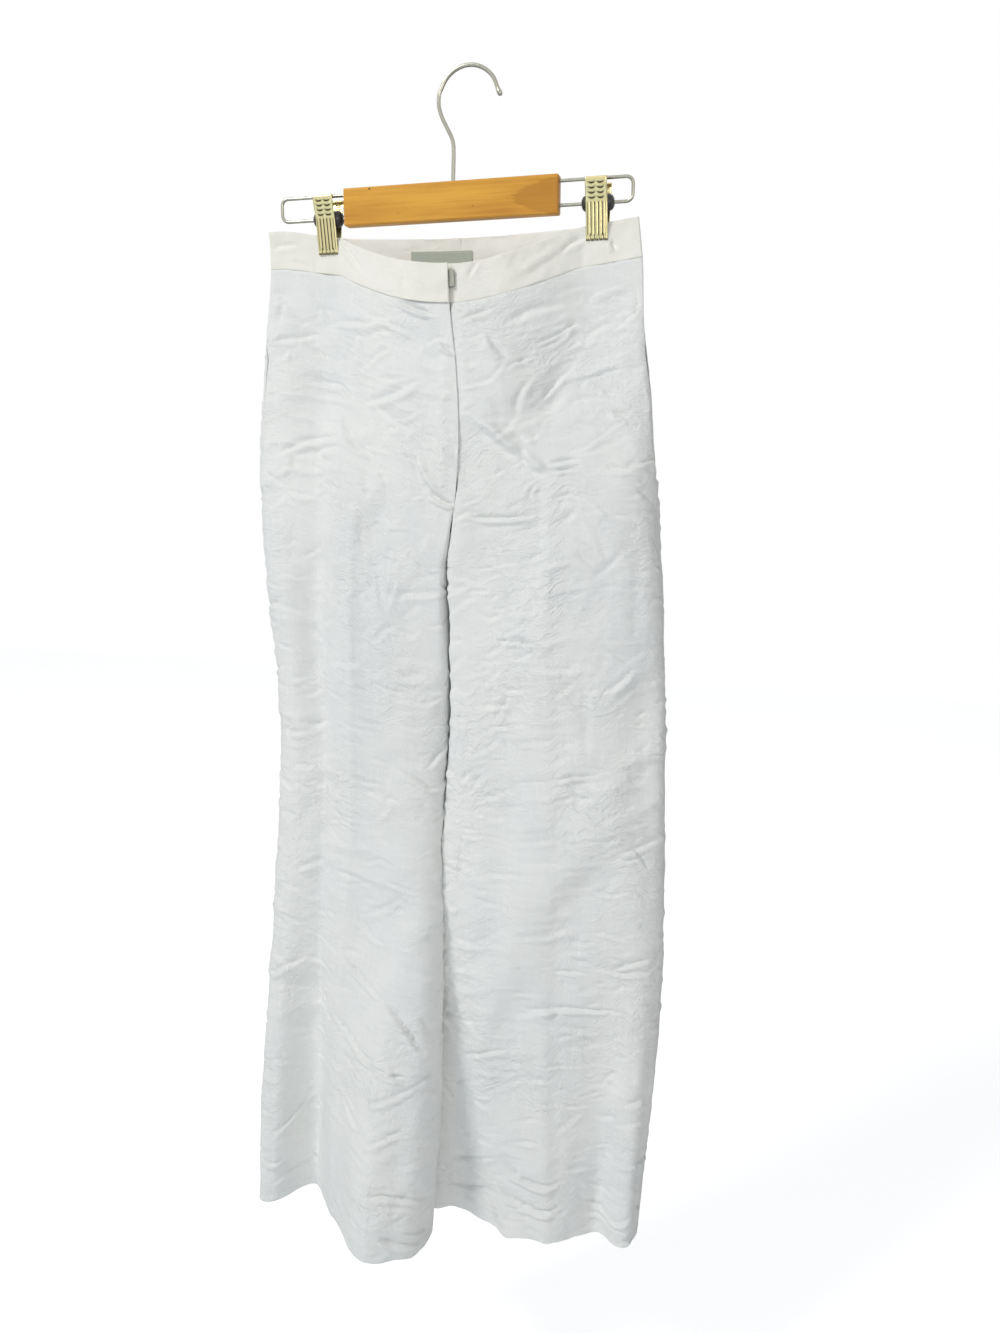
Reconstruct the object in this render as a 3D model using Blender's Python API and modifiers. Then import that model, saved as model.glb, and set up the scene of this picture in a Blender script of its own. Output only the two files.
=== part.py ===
"""Wide barrel-leg linen trousers with pressed creases, hanging from a clip hanger.

Metres, +Z up, the front of the garment faces -Y. The origin is the top of the hook's bend, where
the hanger rests on a rail. "left" and "right" are the viewer's, seen from the front.
"""

import math
from collections import namedtuple

import bmesh
import bpy
import numpy as np
from mathutils import Matrix

MM = 0.001
SEAM_GAP = 0.3 * MM

# Cloth
WALL = 1.2 * MM  # linen with its seam allowances
BAND_WALL = 2.0 * MM  # two plies and a stiffener
WAIST_Z = -127 * MM  # top of the waistband at the side seams
WAIST_TILT = 0.0106  # the left end hangs this much higher, per metre of width
BAND_HEIGHT = 33.5 * MM
SIDE_LENGTH = 1000 * MM  # waist to hem at the side seam
FLY_END = 215 * MM  # drops below the waist, along the cloth
CROTCH = 285 * MM
BACK_CURVE_TOP = 140 * MM  # where the back seam starts to bend towards the crotch
CLIP_SAG = 8 * MM  # the waist sinks this far from each side seam to its clip
CLIP_SAG_END = 300 * MM
CLIP_TO_SIDE = 0.5  # how far the side seams lie outside the clips, in units of hanging_free
SAG_POWER = {"left": 0.92, "right": 1.1}
HIP_OPEN = 240 * MM  # drop at which front and back have parted into a full ring
SIDE_HALF_GAP = 1.3 * MM  # front and back lie this far from the middle at the clipped waist
CORNER_POWER = 2.5  # superellipse power of a leg's section
CORNER_SOFTNESS = 0.12  # of the depth turned in at the crotch
CORNER_CLEARS = 3 * MM  # turned in this far, the cloth stands clear of the other leg's
ROUND_FROM = 480 * MM  # drop from which the inner edge of a leg is round

# Hanger
WIRE = 3.0 * MM
HOOK_WIRE = 3.6 * MM
HOOK_RADIUS = 27 * MM
STEM_X = -16 * MM
BAR_CENTRE_X = -19.5 * MM
BAR_SIZE = (200 * MM, 12 * MM, 32.5 * MM)  # long, thick, high
BAR_TOP_Z = -92 * MM
LOOP_END_X = {"left": -184.5 * MM, "right": 146 * MM}
UPPER_WIRE_Z = -97 * MM
LOWER_WIRE_Z = -117 * MM
SOCKET_DEPTH = 14 * MM
CLIP_X = {"left": -136.5 * MM, "right": 114.5 * MM}
CLIP_WIDTH = 19 * MM
CLIP_PLATE = 1.0 * MM
CLIP_CLEARANCE = 3 * MM  # between a clip's side and where the cloth swings away from it

Section = namedtuple("Section", "drop side_x side_y crease_x front_y back_y inner_x inner_y lobe")

# Sections of each leg in millimetres, from the waist down. lobe is how far the inner front of the
# leg reaches past the inseam, towards the other leg.
LEFT_LEG = [
    Section(0, -197, 0, -105, -10, 5, -12, 0, 0),
    Section(33, -197, 0, -104, -11, 6, -11, 0, 0),
    Section(90, -202, -4, -100, -18, 14, -5, 0, 0),
    Section(150, -207, -8, -97, -24, 22, -2, 0, 0),
    Section(205, -209, -10, -100, -30, 27, -4, 0, 0),
    Section(285, -209, -10, -106, -36, 30, -17, 2, 2),
    Section(350, -206, -9, -110, -38, 32, -19, 2, 8),
    Section(430, -201, -8, -112, -38, 33, -21, 2, 11),
    Section(500, -202, -8, -113, -37, 34, -26, 1, 10),
    Section(580, -207, -10, -116, -36, 36, -32, 0, 9),
    Section(700, -217, -15, -126, -38, 39, -38, -2, 8),
    Section(800, -225, -22, -134, -44, 42, -42, -4, 6),
    Section(900, -230, -32, -141, -50, 45, -46, -5, 3),
    Section(1000, -233, -42, -144, -54, 47, -48, -6, -5),
]
RIGHT_LEG = [
    Section(0, 150, 0, 84, -8, 5, -12, 0, 0),
    Section(33, 154, 0, 83, -9, 6, -11, 0, 0),
    Section(90, 157, 0, 81, -16, 14, -5, 0, 0),
    Section(150, 165, 0, 79, -22, 22, -2, 0, 0),
    Section(205, 169, 1, 79, -27, 27, -4, 0, 0),
    Section(285, 176, 2, 79, -31, 31, -15, 2, 0),
    Section(350, 181, 2, 80, -32, 34, -16, 2, 0),
    Section(430, 185, 3, 82, -31, 37, -18, 2, 0),
    Section(500, 187, 4, 83, -30, 39, -23, 2, 0),
    Section(580, 189, 5, 84, -29, 41, -29, 1, 0),
    Section(700, 190, 6, 83, -28, 44, -35, 0, 0),
    Section(800, 187, 8, 81, -28, 47, -39, -1, 0),
    Section(900, 180, 10, 83, -29, 49, -43, -2, 0),
    Section(1000, 173, 12, 86, -30, 50, -45, -3, 0),
]
LEGS = {"left": LEFT_LEG, "right": RIGHT_LEG}

Middle = namedtuple("Middle", "drop front_y back_y front_sag back_sag")

# Depth of the centre seams, and how far the cloth has sunk there below its height at the sides.
MIDDLE = [
    Middle(0, -28, 8, 30, 3),
    Middle(33, -29, 9, 30, 4),
    Middle(150, -34, 20, 25, 9),
    Middle(285, -38, 30, 20, 20),
    Middle(600, -38, 30, 14, 14),
    Middle(1000, -38, 30, 8, 8),
]

Fold = namedtuple("Fold", "leg face start full end top_u bottom_u width depth")

# Large folds in millimetres of drop and depth (outwards is positive). u runs from 0 at the side
# seam over the pressed crease at 0.5 to 1 at the inner seam. An end past the hem runs out open.
PAST_HEM = 2000
FOLDS = [
    Fold("left", "front", 420, 980, PAST_HEM, 0.74, 0.74, 0.27, 54),  # inner half swings forward
    Fold("left", "front", 600, 980, PAST_HEM, 0.62, 0.60, 0.13, 24),
    Fold("left", "front", 560, 980, PAST_HEM, 0.38, 0.38, 0.15, -38),  # hollow beside the crease
    Fold("left", "front", 640, 980, PAST_HEM, 0.15, 0.15, 0.12, 7),  # outer roll
    Fold("left", "front", 90, 180, 330, 0.34, 0.30, 0.20, -5),
    Fold("left", "front", 60, 150, 300, 0.66, 0.72, 0.18, 4),
    Fold("right", "front", 660, 980, PAST_HEM, 0.36, 0.33, 0.20, -24),  # hollow outside the crease
    Fold("right", "front", 560, 980, PAST_HEM, 0.22, 0.22, 0.13, 8),  # outer roll
    Fold("right", "front", 640, 980, PAST_HEM, 0.74, 0.74, 0.12, -9),
    Fold("right", "front", 640, 980, PAST_HEM, 0.90, 0.90, 0.10, 7),
    Fold("right", "front", 200, 300, 520, 0.70, 0.52, 0.20, 5),  # soft diagonal from the fly
    Fold("right", "front", 330, 460, 620, 0.20, 0.22, 0.16, -6),
    Fold("left", "back", 60, 250, 480, 0.11, 0.11, 0.18, 8),  # roll beyond the side seam
    Fold("left", "back", 420, 940, PAST_HEM, 0.28, 0.30, 0.22, -16),
    Fold("left", "back", 500, 960, PAST_HEM, 0.70, 0.72, 0.26, 18),
    Fold("right", "back", 450, 940, PAST_HEM, 0.28, 0.26, 0.22, -18),
    Fold("right", "back", 520, 960, PAST_HEM, 0.74, 0.72, 0.26, 14),
]
FOLDS_FROM_U = 0.08  # folds fade out from here to the side seam
FOLDS_TO_U = (0.88, 0.98)  # and over this towards the inner seam
CREASE_HEIGHT = 1.5 * MM
CREASE_HALF_WIDTH = 0.06  # in u
CREASE_TOP = {"front": 150 * MM, "back": 240 * MM}


def smooth(value, start, end):
    """0 below start, 1 above end, and an even ramp between."""
    t = np.clip((value - start) / (end - start), 0.0, 1.0)
    return t * t * (3 - 2 * t)


def mix(a, b, share):
    return a + (b - a) * share


def column(table, name, drop):
    """A column of a table at each drop, as a cubic through the rows on both sides. Metres."""
    drops = np.array([row.drop for row in table]) * MM
    values = np.array([getattr(row, name) for row in table]) * MM
    slopes = np.gradient(values, drops)
    i = np.clip(np.searchsorted(drops, drop, side="right") - 1, 0, len(drops) - 2)
    span = drops[i + 1] - drops[i]
    t = np.clip((drop - drops[i]) / span, 0.0, 1.0)
    return (
        (2 * t**3 - 3 * t**2 + 1) * values[i]
        + (t**3 - 2 * t**2 + t) * span * slopes[i]
        + (3 * t**2 - 2 * t**3) * values[i + 1]
        + (t**3 - t**2) * span * slopes[i + 1]
    )


def inner_turn(face, drop):
    """How far the inner edge has turned from the centre seam (0) to the inseam (1).

    Over the crotch curve it follows a quarter of an ellipse, level where the legs meet."""
    top = FLY_END if face == "front" else BACK_CURVE_TOP
    down = np.clip((drop - top) / (CROTCH - top), 0.0, 1.0)
    return 1 - np.sqrt(1 - down**2)


def hanging_free(x, drop):
    """0 at a clip's inner edge, 1 at the centre line between the clips, and below 0 outside."""
    centre_x = column(LEFT_LEG, "inner_x", np.minimum(drop, FLY_END))
    edge = np.where(
        x < centre_x,
        CLIP_X["left"] + CLIP_WIDTH / 2 + CLIP_CLEARANCE,
        CLIP_X["right"] - CLIP_WIDTH / 2 - CLIP_CLEARANCE,
    )
    return (x - edge) / (centre_x - edge)


def height(face, x, drop):
    """Height of the cloth, which sinks from the side seams to the clips and between the clips."""
    free = hanging_free(x, drop)
    power = np.where(x < 0, SAG_POWER["left"], SAG_POWER["right"])
    between = np.sin(math.pi / 2 * np.clip(free, 0, 1) ** power)
    outside = np.clip(1 + free / CLIP_TO_SIDE, 0, 1)
    sag = column(MIDDLE, face + "_sag", drop) * between
    sag = sag + CLIP_SAG * outside * (1 - smooth(drop, 0, CLIP_SAG_END))
    return WAIST_Z - WAIST_TILT * x - drop - sag


def sheet_of(leg, face, u, drop):
    """Points of a panel's middle surface without its folds."""
    table = LEGS[leg]
    side = 1 if face == "back" else -1
    side_x = column(table, "side_x", drop)
    side_y = column(table, "side_y", drop)
    crease_x = column(table, "crease_x", drop)
    face_y = column(table, face + "_y", drop)
    inner_x = column(table, "inner_x", drop)
    inner_y = column(table, "inner_y", drop) + side * SEAM_GAP / 2
    centre_y = column(MIDDLE, face + "_y", drop)
    opened = smooth(drop, BAND_HEIGHT, HIP_OPEN)
    edge_y = side_y + side * mix(SIDE_HALF_GAP, SEAM_GAP / 2, opened)

    # Outer half: side seam to crease, a quarter of a superellipse once the ring has opened.
    t = np.clip(u / 0.5, 0.0, 1.0)
    angle = t * math.pi / 2
    power = 2 / CORNER_POWER
    ring_x = crease_x + (side_x - crease_x) * np.cos(angle).clip(0) ** power
    ring_y = edge_y + (face_y - edge_y) * np.sin(angle).clip(0) ** power
    outer_x = mix(mix(side_x, crease_x, t), ring_x, opened)
    # Inner half: crease to centre seam. Over the crotch curve the cloth there turns squarely in
    # towards the inseam, and further down the leg it goes round to it.
    t = np.clip((u - 0.5) / 0.5, 0.0, 1.0)
    angle = t * math.pi / 2
    deep = np.abs(face_y - inner_y) * inner_turn(face, drop)
    wide = np.abs(inner_x - crease_x) - WALL / 2 * smooth(deep, 0, CORNER_CLEARS)
    past = t * (wide + deep) - wide  # along the cloth from the corner
    soft = CORNER_SOFTNESS * deep + 1e-6
    turned_in = soft * np.logaddexp(0, past / soft)
    square_x = crease_x + np.sign(inner_x - crease_x) * (past + wide - turned_in)
    swing = np.sin(angle) * (1 - smooth(drop, FLY_END, CROTCH))
    square_y = mix(face_y, centre_y, swing) - side * turned_in
    round_x = crease_x + (inner_x - crease_x) * np.sin(angle).clip(0) ** power
    round_y = inner_y + (face_y - inner_y) * np.cos(angle).clip(0) ** power
    rounded = smooth(drop, CROTCH, ROUND_FROM)
    inner_x = mix(square_x, round_x, rounded)
    if face == "front":
        inner_x = inner_x + column(table, "lobe", drop) * np.sin(t * math.pi) ** 2 * rounded
    x = np.where(u < 0.5, outer_x, inner_x)
    ring_y = np.where(u < 0.5, ring_y, mix(square_y, round_y, rounded))

    # At the waist the cloth is flat out to the clips and swings out between them.
    free = np.clip(hanging_free(x, drop), 0, 1)
    waist_y = edge_y + (centre_y - edge_y) * np.sin(free * math.pi / 2)
    return np.stack([x, mix(waist_y, ring_y, opened), height(face, x, drop)], axis=-1)


def outward(leg, face, u, drop):
    """Level unit vectors pointing out of the garment."""
    step = 0.01
    ahead = sheet_of(leg, face, np.minimum(u + step, 1), drop)
    behind = sheet_of(leg, face, np.maximum(u - step, 0), drop)
    along = ahead - behind
    out = np.stack([along[..., 1], -along[..., 0], np.zeros_like(u)], axis=-1)
    if (face == "back") == (leg == "left"):
        out = -out
    return out / np.linalg.norm(out, axis=-1, keepdims=True)


def fold_depth(leg, face, u, drop):
    depth = np.zeros_like(u)
    for fold in FOLDS:
        if (fold.leg, fold.face) != (leg, face):
            continue
        start, full, end = fold.start * MM, fold.full * MM, fold.end * MM
        place = mix(fold.top_u, fold.bottom_u, np.clip((drop - start) / (full - start), 0, 1))
        across = np.clip(np.abs(u - place) / fold.width, 0, 1)
        lasting = smooth(drop, start, full) * (1 - smooth(drop, full, end) if end < 1 else 1)
        depth += fold.depth * MM * np.cos(across * math.pi / 2) ** 2 * lasting
    seam_fade = smooth(u, 0, FOLDS_FROM_U) * (1 - smooth(u, *FOLDS_TO_U))
    crease = np.clip(1 - np.abs(u - 0.5) / CREASE_HALF_WIDTH, 0, 1)
    crease_start = CREASE_TOP[face]
    pressed = CREASE_HEIGHT * crease * smooth(drop, crease_start, crease_start + 100 * MM)
    return depth * seam_fade + pressed


FLY_LAP = 6 * MM  # the under front reaches this far below the upper one
FLY_GAPE = 5 * MM  # just below the waistband it stands back this far, and shows the zip
FLY_GAPE_END = 66 * MM
FLY_STEP = 0.9 * MM  # each front lies this far out or in from the shared surface at the fly
FLY_LAP_ENDS = (188 * MM, 200 * MM)
FLY_STEP_ENDS = (200 * MM, 218 * MM)
FLY_STEP_U = (0.80, 0.93)  # the step and the lap are eased in over this much of each front
FLY_LAP_U = (0.84, 1)
SEAM_EASE_U = (0.9, 1)  # and the half seam gap over this much


def fly_shift(leg, u, drop):
    """Outward and sideways shift of a front near the fly, where the left one laps over."""
    stepped = FLY_STEP * smooth(u, *FLY_STEP_U) * (1 - smooth(drop, *FLY_STEP_ENDS))
    if leg == "left":
        return stepped, -SEAM_GAP / 2 * smooth(u, *SEAM_EASE_U)
    lap = mix(-FLY_GAPE, FLY_LAP, smooth(drop, BAND_HEIGHT, FLY_GAPE_END))
    lap = lap * (1 - smooth(drop, *FLY_LAP_ENDS))
    return -stepped, (SEAM_GAP / 2 - lap) * smooth(u, *FLY_LAP_U)


def panel_points(leg, face, u, drop):
    points = sheet_of(leg, face, u, drop)
    out = fold_depth(leg, face, u, drop)
    sideways = (SEAM_GAP / 2 if leg == "right" else -SEAM_GAP / 2) * smooth(u, *SEAM_EASE_U)
    if face == "front":
        step, sideways = fly_shift(leg, u, drop)
        out = out + step
    points = points + outward(leg, face, u, drop) * out[..., None]
    above = drop < FLY_END
    points[..., 0] += sideways * (drop < CROTCH)
    points[..., 2] = np.where(above, height(face, points[..., 0], drop), points[..., 2])
    return points


def middle_points(face, across, drop, out):
    """Points of the front or back at a distance across from the centre line, moved out."""
    across, drop = np.broadcast_arrays(across, drop)
    points = np.zeros(across.shape + (3,))
    for leg, here in (("left", across <= 0), ("right", across > 0)):
        table = LEGS[leg]
        half = np.abs(column(table, "inner_x", drop) - column(table, "crease_x", drop))
        u = 1 - 0.5 * np.abs(across) / half
        there = sheet_of(leg, face, u, drop) + outward(leg, face, u, drop) * out
        points = np.where(here[..., None], there, points)
    return points


def clear_scene():
    for thing in list(bpy.data.objects):
        bpy.data.objects.remove(thing, do_unlink=True)


def collection(name):
    made = bpy.data.collections.new(name)
    bpy.context.scene.collection.children.link(made)
    return made


def material(name, colour, roughness, metallic=0.0):
    made = bpy.data.materials.new(name)
    made.use_nodes = True
    shader = made.node_tree.nodes["Principled BSDF"]
    shader.inputs["Base Color"].default_value = (*colour, 1)
    shader.inputs["Roughness"].default_value = roughness
    shader.inputs["Metallic"].default_value = metallic
    return made


def placed(name, mesh, finish, where):
    made = bpy.data.objects.new(name, mesh)
    made.data.materials.append(finish)
    where.objects.link(made)
    return made


def mesh_from(name, shape):
    bmesh.ops.recalc_face_normals(shape, faces=shape.faces)
    mesh = bpy.data.meshes.new(name)
    shape.to_mesh(mesh)
    shape.free()
    mesh.shade_smooth()
    mesh.set_sharp_from_angle(angle=math.radians(35))
    return mesh


def loft(name, points, wall, finish, where):
    """A grid of points, rows down and columns across, skinned and given its wall by Solidify."""
    shape = bmesh.new()
    grid = [[shape.verts.new(point) for point in row] for row in points]
    for upper, lower in zip(grid, grid[1:]):
        for i in range(len(upper) - 1):
            shape.faces.new((upper[i], lower[i], lower[i + 1], upper[i + 1]))
    made = placed(name, mesh_from(name, shape), finish, where)
    solidify = made.modifiers.new("Wall", "SOLIDIFY")
    solidify.thickness = wall
    solidify.offset = 0
    return made


def tube(name, path, radius, finish, where, sides=2):
    """A round wire as a bevelled POLY curve."""
    curve = bpy.data.curves.new(name, "CURVE")
    curve.dimensions = "3D"
    curve.bevel_depth = radius
    curve.bevel_resolution = sides
    curve.use_fill_caps = True
    spline = curve.splines.new("POLY")
    spline.points.add(len(path) - 1)
    for point, place in zip(spline.points, path):
        point.co = (*place, 1)
    return placed(name, curve, finish, where)


def spread(*stops):
    """Drops from stop to stop, each stop a pair: where, and the number of steps up to it."""
    values = [stops[0][0]]
    for (start, _), (end, steps) in zip(stops, stops[1:]):
        values += [start + (end - start) * i / steps for i in range(1, steps + 1)]
    return np.array(values)


def curve_drops(top):
    """Drops over the crotch curve, closer together where it levels out."""
    steps = 5
    return np.array(
        [top + (CROTCH - top) * math.sin(math.pi / 2 * i / steps) for i in range(1, steps + 1)]
    )


def make_panels(linen, where):
    first = BAND_HEIGHT + 1.5 * SEAM_GAP
    leg_rows = spread((CROTCH, 0), (SIDE_LENGTH, 20))[1:]
    fly_rows = spread((first, 0), (FLY_LAP_ENDS[0], 5))
    front_rows = [*fly_rows, *FLY_STEP_ENDS, *curve_drops(FLY_STEP_ENDS[1])]
    back_rows = [*spread((first, 0), (BACK_CURVE_TOP, 3)), *curve_drops(BACK_CURVE_TOP)]
    columns = np.linspace(0, 1, 23)
    for leg in LEGS:
        for face, rows in (("front", front_rows), ("back", back_rows)):
            u, drop = np.meshgrid(columns, [*rows, *leg_rows])
            loft(f"{face}_panel_{leg}", panel_points(leg, face, u, drop), WALL, linen, where)


BAND_STEP = 2.6 * MM  # the waistband's ends lie this far out and in from each other's middle
BAND_STEP_U = (0.72, 0.84)
UNDERLAP = 0.16  # of u, below the left end of the band


def make_waistband(linen, where):
    heights = np.array([0, BAND_HEIGHT / 2, BAND_HEIGHT])
    u, drop = np.meshgrid(np.linspace(0, 1, 19), heights)
    step = (smooth(u, *BAND_STEP_U) * BAND_STEP)[..., None]
    over = sheet_of("left", "front", u, drop) + outward("left", "front", u, drop) * step
    loft("waistband_front_left", over, BAND_WALL, linen, where)

    under = sheet_of("right", "front", u, drop) - outward("right", "front", u, drop) * step
    u, drop = np.meshgrid(np.linspace(1, 1 - UNDERLAP, 5)[1:], heights)
    end = sheet_of("left", "front", u, drop) - outward("left", "front", u, drop) * BAND_STEP
    loft("waistband_front_right", np.concatenate([under, end], axis=1), BAND_WALL, linen, where)

    u, drop = np.meshgrid(np.linspace(0, 1, 13), heights)
    halves = [sheet_of("left", "back", u, drop), sheet_of("right", "back", u, drop)[:, -2::-1]]
    loft("waistband_back", np.concatenate(halves, axis=1), BAND_WALL, linen, where)


FASTENER_PLATE = 0.6 * MM
FASTENER_DROPS = (6 * MM, 20 * MM)
HOOK_PATH = [(-14, 1.0), (-5, 1.0), (3, 1.0), (4.3, 0.6), (4.6, 0), (3.4, 0), (-3, 0)]  # across, out
EYE_PATH = [(-11, -1.0), (2, -1.0)]


def make_fastener(metal, where):
    """The hook on the upper end of the waistband, caught on the bar of the lower end."""
    for name, path in (("waist_hook", HOOK_PATH), ("waist_bar", EYE_PATH)):
        columns = [
            middle_points("front", across * MM, np.array(FASTENER_DROPS), out * MM)
            for across, out in path
        ]
        loft(name, np.stack(columns, axis=1), FASTENER_PLATE, metal, where)


ZIP_CENTRE = -10 * MM  # across, behind the flap
ZIP_TAPE = (-21 * MM, 9 * MM)
ZIP_WALL = 1.0 * MM
ZIP_OUT = -(FLY_STEP + WALL / 2 + SEAM_GAP + ZIP_WALL / 2)
ZIP_DROPS = (BAND_HEIGHT + 1.5 * MM, 196 * MM)
SLIDER_SIZE = (6.5 * MM, 1.3 * MM, 9 * MM)
SLIDER_DROP = 42 * MM
SHIELD_EDGES = (-28 * MM, 12 * MM)
SHIELD_OUT = ZIP_OUT - ZIP_WALL / 2 - SEAM_GAP - WALL / 2
SHIELD_DROPS = (BAND_HEIGHT + 1.8 * MM, 212 * MM)


def strip(face, edges, drops, out, columns, rows):
    across, drop = np.meshgrid(np.linspace(*edges, columns), np.linspace(*drops, rows))
    return middle_points(face, across, drop, out)


def make_fly(linen, tape, metal, where):
    zip_points = strip("front", ZIP_TAPE, ZIP_DROPS, ZIP_OUT, 6, 10)
    loft("zip", zip_points, ZIP_WALL, tape, where)
    shield_points = strip("front", SHIELD_EDGES, SHIELD_DROPS, SHIELD_OUT, 6, 10)
    loft("fly_shield", shield_points, WALL, linen, where)
    wide, thick, tall = SLIDER_SIZE
    out = ZIP_OUT + ZIP_WALL / 2 + SEAM_GAP + thick / 2
    edges = (ZIP_CENTRE - wide / 2, ZIP_CENTRE + wide / 2)
    drops = (SLIDER_DROP - tall / 2, SLIDER_DROP + tall / 2)
    loft("zip_slider", strip("front", edges, drops, out, 3, 3), thick, metal, where)


LABEL_WALL = 1.0 * MM
LABEL_EDGES = (-47 * MM, 11 * MM)
LABEL_DROPS = (7.5 * MM, 30 * MM)


def make_label(satin, where):
    """A blank label on the inner face of the back waistband."""
    out = -(BAND_WALL / 2 + SEAM_GAP + LABEL_WALL / 2)
    points = strip("back", LABEL_EDGES, LABEL_DROPS, out, 7, 3)
    loft("label", points, LABEL_WALL, satin, where)


BAG_WALL = 1.2 * MM
BAG_OUT = -(WALL / 2 + 0.5 * MM + BAG_WALL / 2)
BAG_U = (0.10, 0.42)
BAG_DROPS = (110 * MM, 350 * MM)
BAG_ROUNDING = 0.6  # how much narrower the bag is at its foot


def make_pocket_bags(lining, where):
    """Flat bags of the side pockets, their two layers lying together behind each front."""
    for leg in LEGS:
        share, down = np.meshgrid(np.linspace(0, 1, 7), np.linspace(0, 1, 12))
        width = (BAG_U[1] - BAG_U[0]) * (1 - BAG_ROUNDING * smooth(down, 0.7, 1.15))
        u = BAG_U[0] + width * share
        drop = mix(*BAG_DROPS, down)
        points = panel_points(leg, "front", u, drop) + outward(leg, "front", u, drop) * BAG_OUT
        loft(f"pocket_bag_{leg}", points, BAG_WALL, lining, where)


def through(points, steps=5):
    """A smooth path through points, as a Catmull-Rom curve."""
    points = [np.array(point, float) for point in points]
    ends = [2 * points[0] - points[1], *points, 2 * points[-1] - points[-2]]
    path = [points[0]]
    for a, b, c, d in zip(ends, ends[1:], ends[2:], ends[3:]):
        for i in range(1, steps + 1):
            t = i / steps
            curve = 2 * b + (c - a) * t + (2 * a - 5 * b + 4 * c - d) * t**2
            path.append((curve + (3 * b - a - 3 * c + d) * t**3) / 2)
    return path


HOOK_CENTRE = (-1 * MM, HOOK_WIRE / 2 - HOOK_RADIUS)  # x and z
HOOK_ARC = (158, 40)  # degrees from +X
HOOK_SHANK = [
    (-16, -104), (-16, -88), (-15.4, -68), (-16.4, -57.5), (-21.5, -47), (-26, -38), (-28.6, -29),
    (-28.4, -20.5),
]  # fmt: skip
HOOK_TIP = [(23, -13.5), (25.5, -20), (28.2, -25)]  # flares outwards
TIP_BEAD = 1.35  # times the wire


def make_hook(steel, where):
    arc = [
        (
            HOOK_CENTRE[0] + HOOK_RADIUS * math.cos(math.radians(angle)),
            HOOK_CENTRE[1] + HOOK_RADIUS * math.sin(math.radians(angle)),
        )
        for angle in np.linspace(*HOOK_ARC, 7)
    ]
    route = [
        *((x * MM, z * MM) for x, z in HOOK_SHANK),
        *arc,
        *((x * MM, z * MM) for x, z in HOOK_TIP),
    ]
    path = through([(x, 0, z) for x, z in route], steps=3)
    made = tube("hook", path, HOOK_WIRE / 2, steel, where)
    for point in made.data.splines[0].points[-4:-1]:
        point.radius = TIP_BEAD


def make_loops(steel, where):
    """One bent wire at each end of the bar, which the clips slide on."""
    corner = 6 * MM
    for side, end_x in LOOP_END_X.items():
        away = math.copysign(1, end_x - BAR_CENTRE_X)
        start_x = BAR_CENTRE_X + away * (BAR_SIZE[0] / 2 - SOCKET_DEPTH + 2 * SEAM_GAP)
        path = [(start_x, 0, UPPER_WIRE_Z)]
        for centre_z, angles in (
            (UPPER_WIRE_Z - corner, (90, 0)),
            (LOWER_WIRE_Z + corner, (0, -90)),
        ):
            for angle in np.radians(np.linspace(*angles, 5)):
                x = end_x - away * (WIRE / 2 + corner - corner * math.cos(angle))
                path.append((x, 0, centre_z + corner * math.sin(angle)))
        path.append((start_x, 0, LOWER_WIRE_Z))
        tube(f"wire_loop_{side}", path, WIRE / 2, steel, where)


def cutter(name, radius, length, centre, along, where):
    shape = bmesh.new()
    bmesh.ops.create_cone(
        shape,
        cap_ends=True,
        segments=12,
        radius1=radius,
        radius2=radius,
        depth=length,
        matrix=Matrix.Rotation(math.pi / 2 if along == "X" else 0, 4, "Y"),
    )
    mesh = bpy.data.meshes.new(name)
    bmesh.ops.recalc_face_normals(shape, faces=shape.faces)
    shape.to_mesh(mesh)
    shape.free()
    made = bpy.data.objects.new(name, mesh)
    made.location = centre
    made.hide_render = True
    made.display_type = "WIRE"
    where.objects.link(made)
    return made


def make_bar(wood, where, cutters):
    shape = bmesh.new()
    bmesh.ops.create_cube(shape, size=1)
    bmesh.ops.scale(shape, vec=BAR_SIZE, verts=shape.verts)
    bar = placed("hanger_bar", mesh_from("hanger_bar", shape), wood, where)
    bar.location = (BAR_CENTRE_X, 0, BAR_TOP_Z - BAR_SIZE[2] / 2)
    bevel = bar.modifiers.new("Edges", "BEVEL")
    bevel.width = 1.5 * MM
    bevel.segments = 2
    reach = 2 * SOCKET_DEPTH
    holes = [("stem_socket", HOOK_WIRE, (STEM_X, 0, BAR_TOP_Z), "Z")]
    for side, away in (("left", -1), ("right", 1)):
        end_x = BAR_CENTRE_X + away * BAR_SIZE[0] / 2
        for row, z in (("upper", UPPER_WIRE_Z), ("lower", LOWER_WIRE_Z)):
            holes.append((f"{side}_{row}_socket", WIRE, (end_x, 0, z), "X"))
    for name, wire, centre, along in holes:
        cut = bar.modifiers.new(name, "BOOLEAN")
        cut.operation = "DIFFERENCE"
        cut.object = cutter(name, wire / 2 + SEAM_GAP, reach, centre, along, cutters)


# Side profile of a clip's plate: distance from the middle and height, millimetres.
PLATE_PROFILE = [
    (10.8, -99.8), (12.4, -98.6), (13.8, -99.6), (12.9, -104), (10.8, -110), (8.6, -117),
    (7.0, -125), (5.1, -136), (3.7, -144), (3.1, -148),
]  # fmt: skip
BARREL_PROFILE = [(14, 1.9), (14, 3.4), (12.6, 5.6), (10.4, 6.8), (8, 7.1)]  # along, radius


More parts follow.
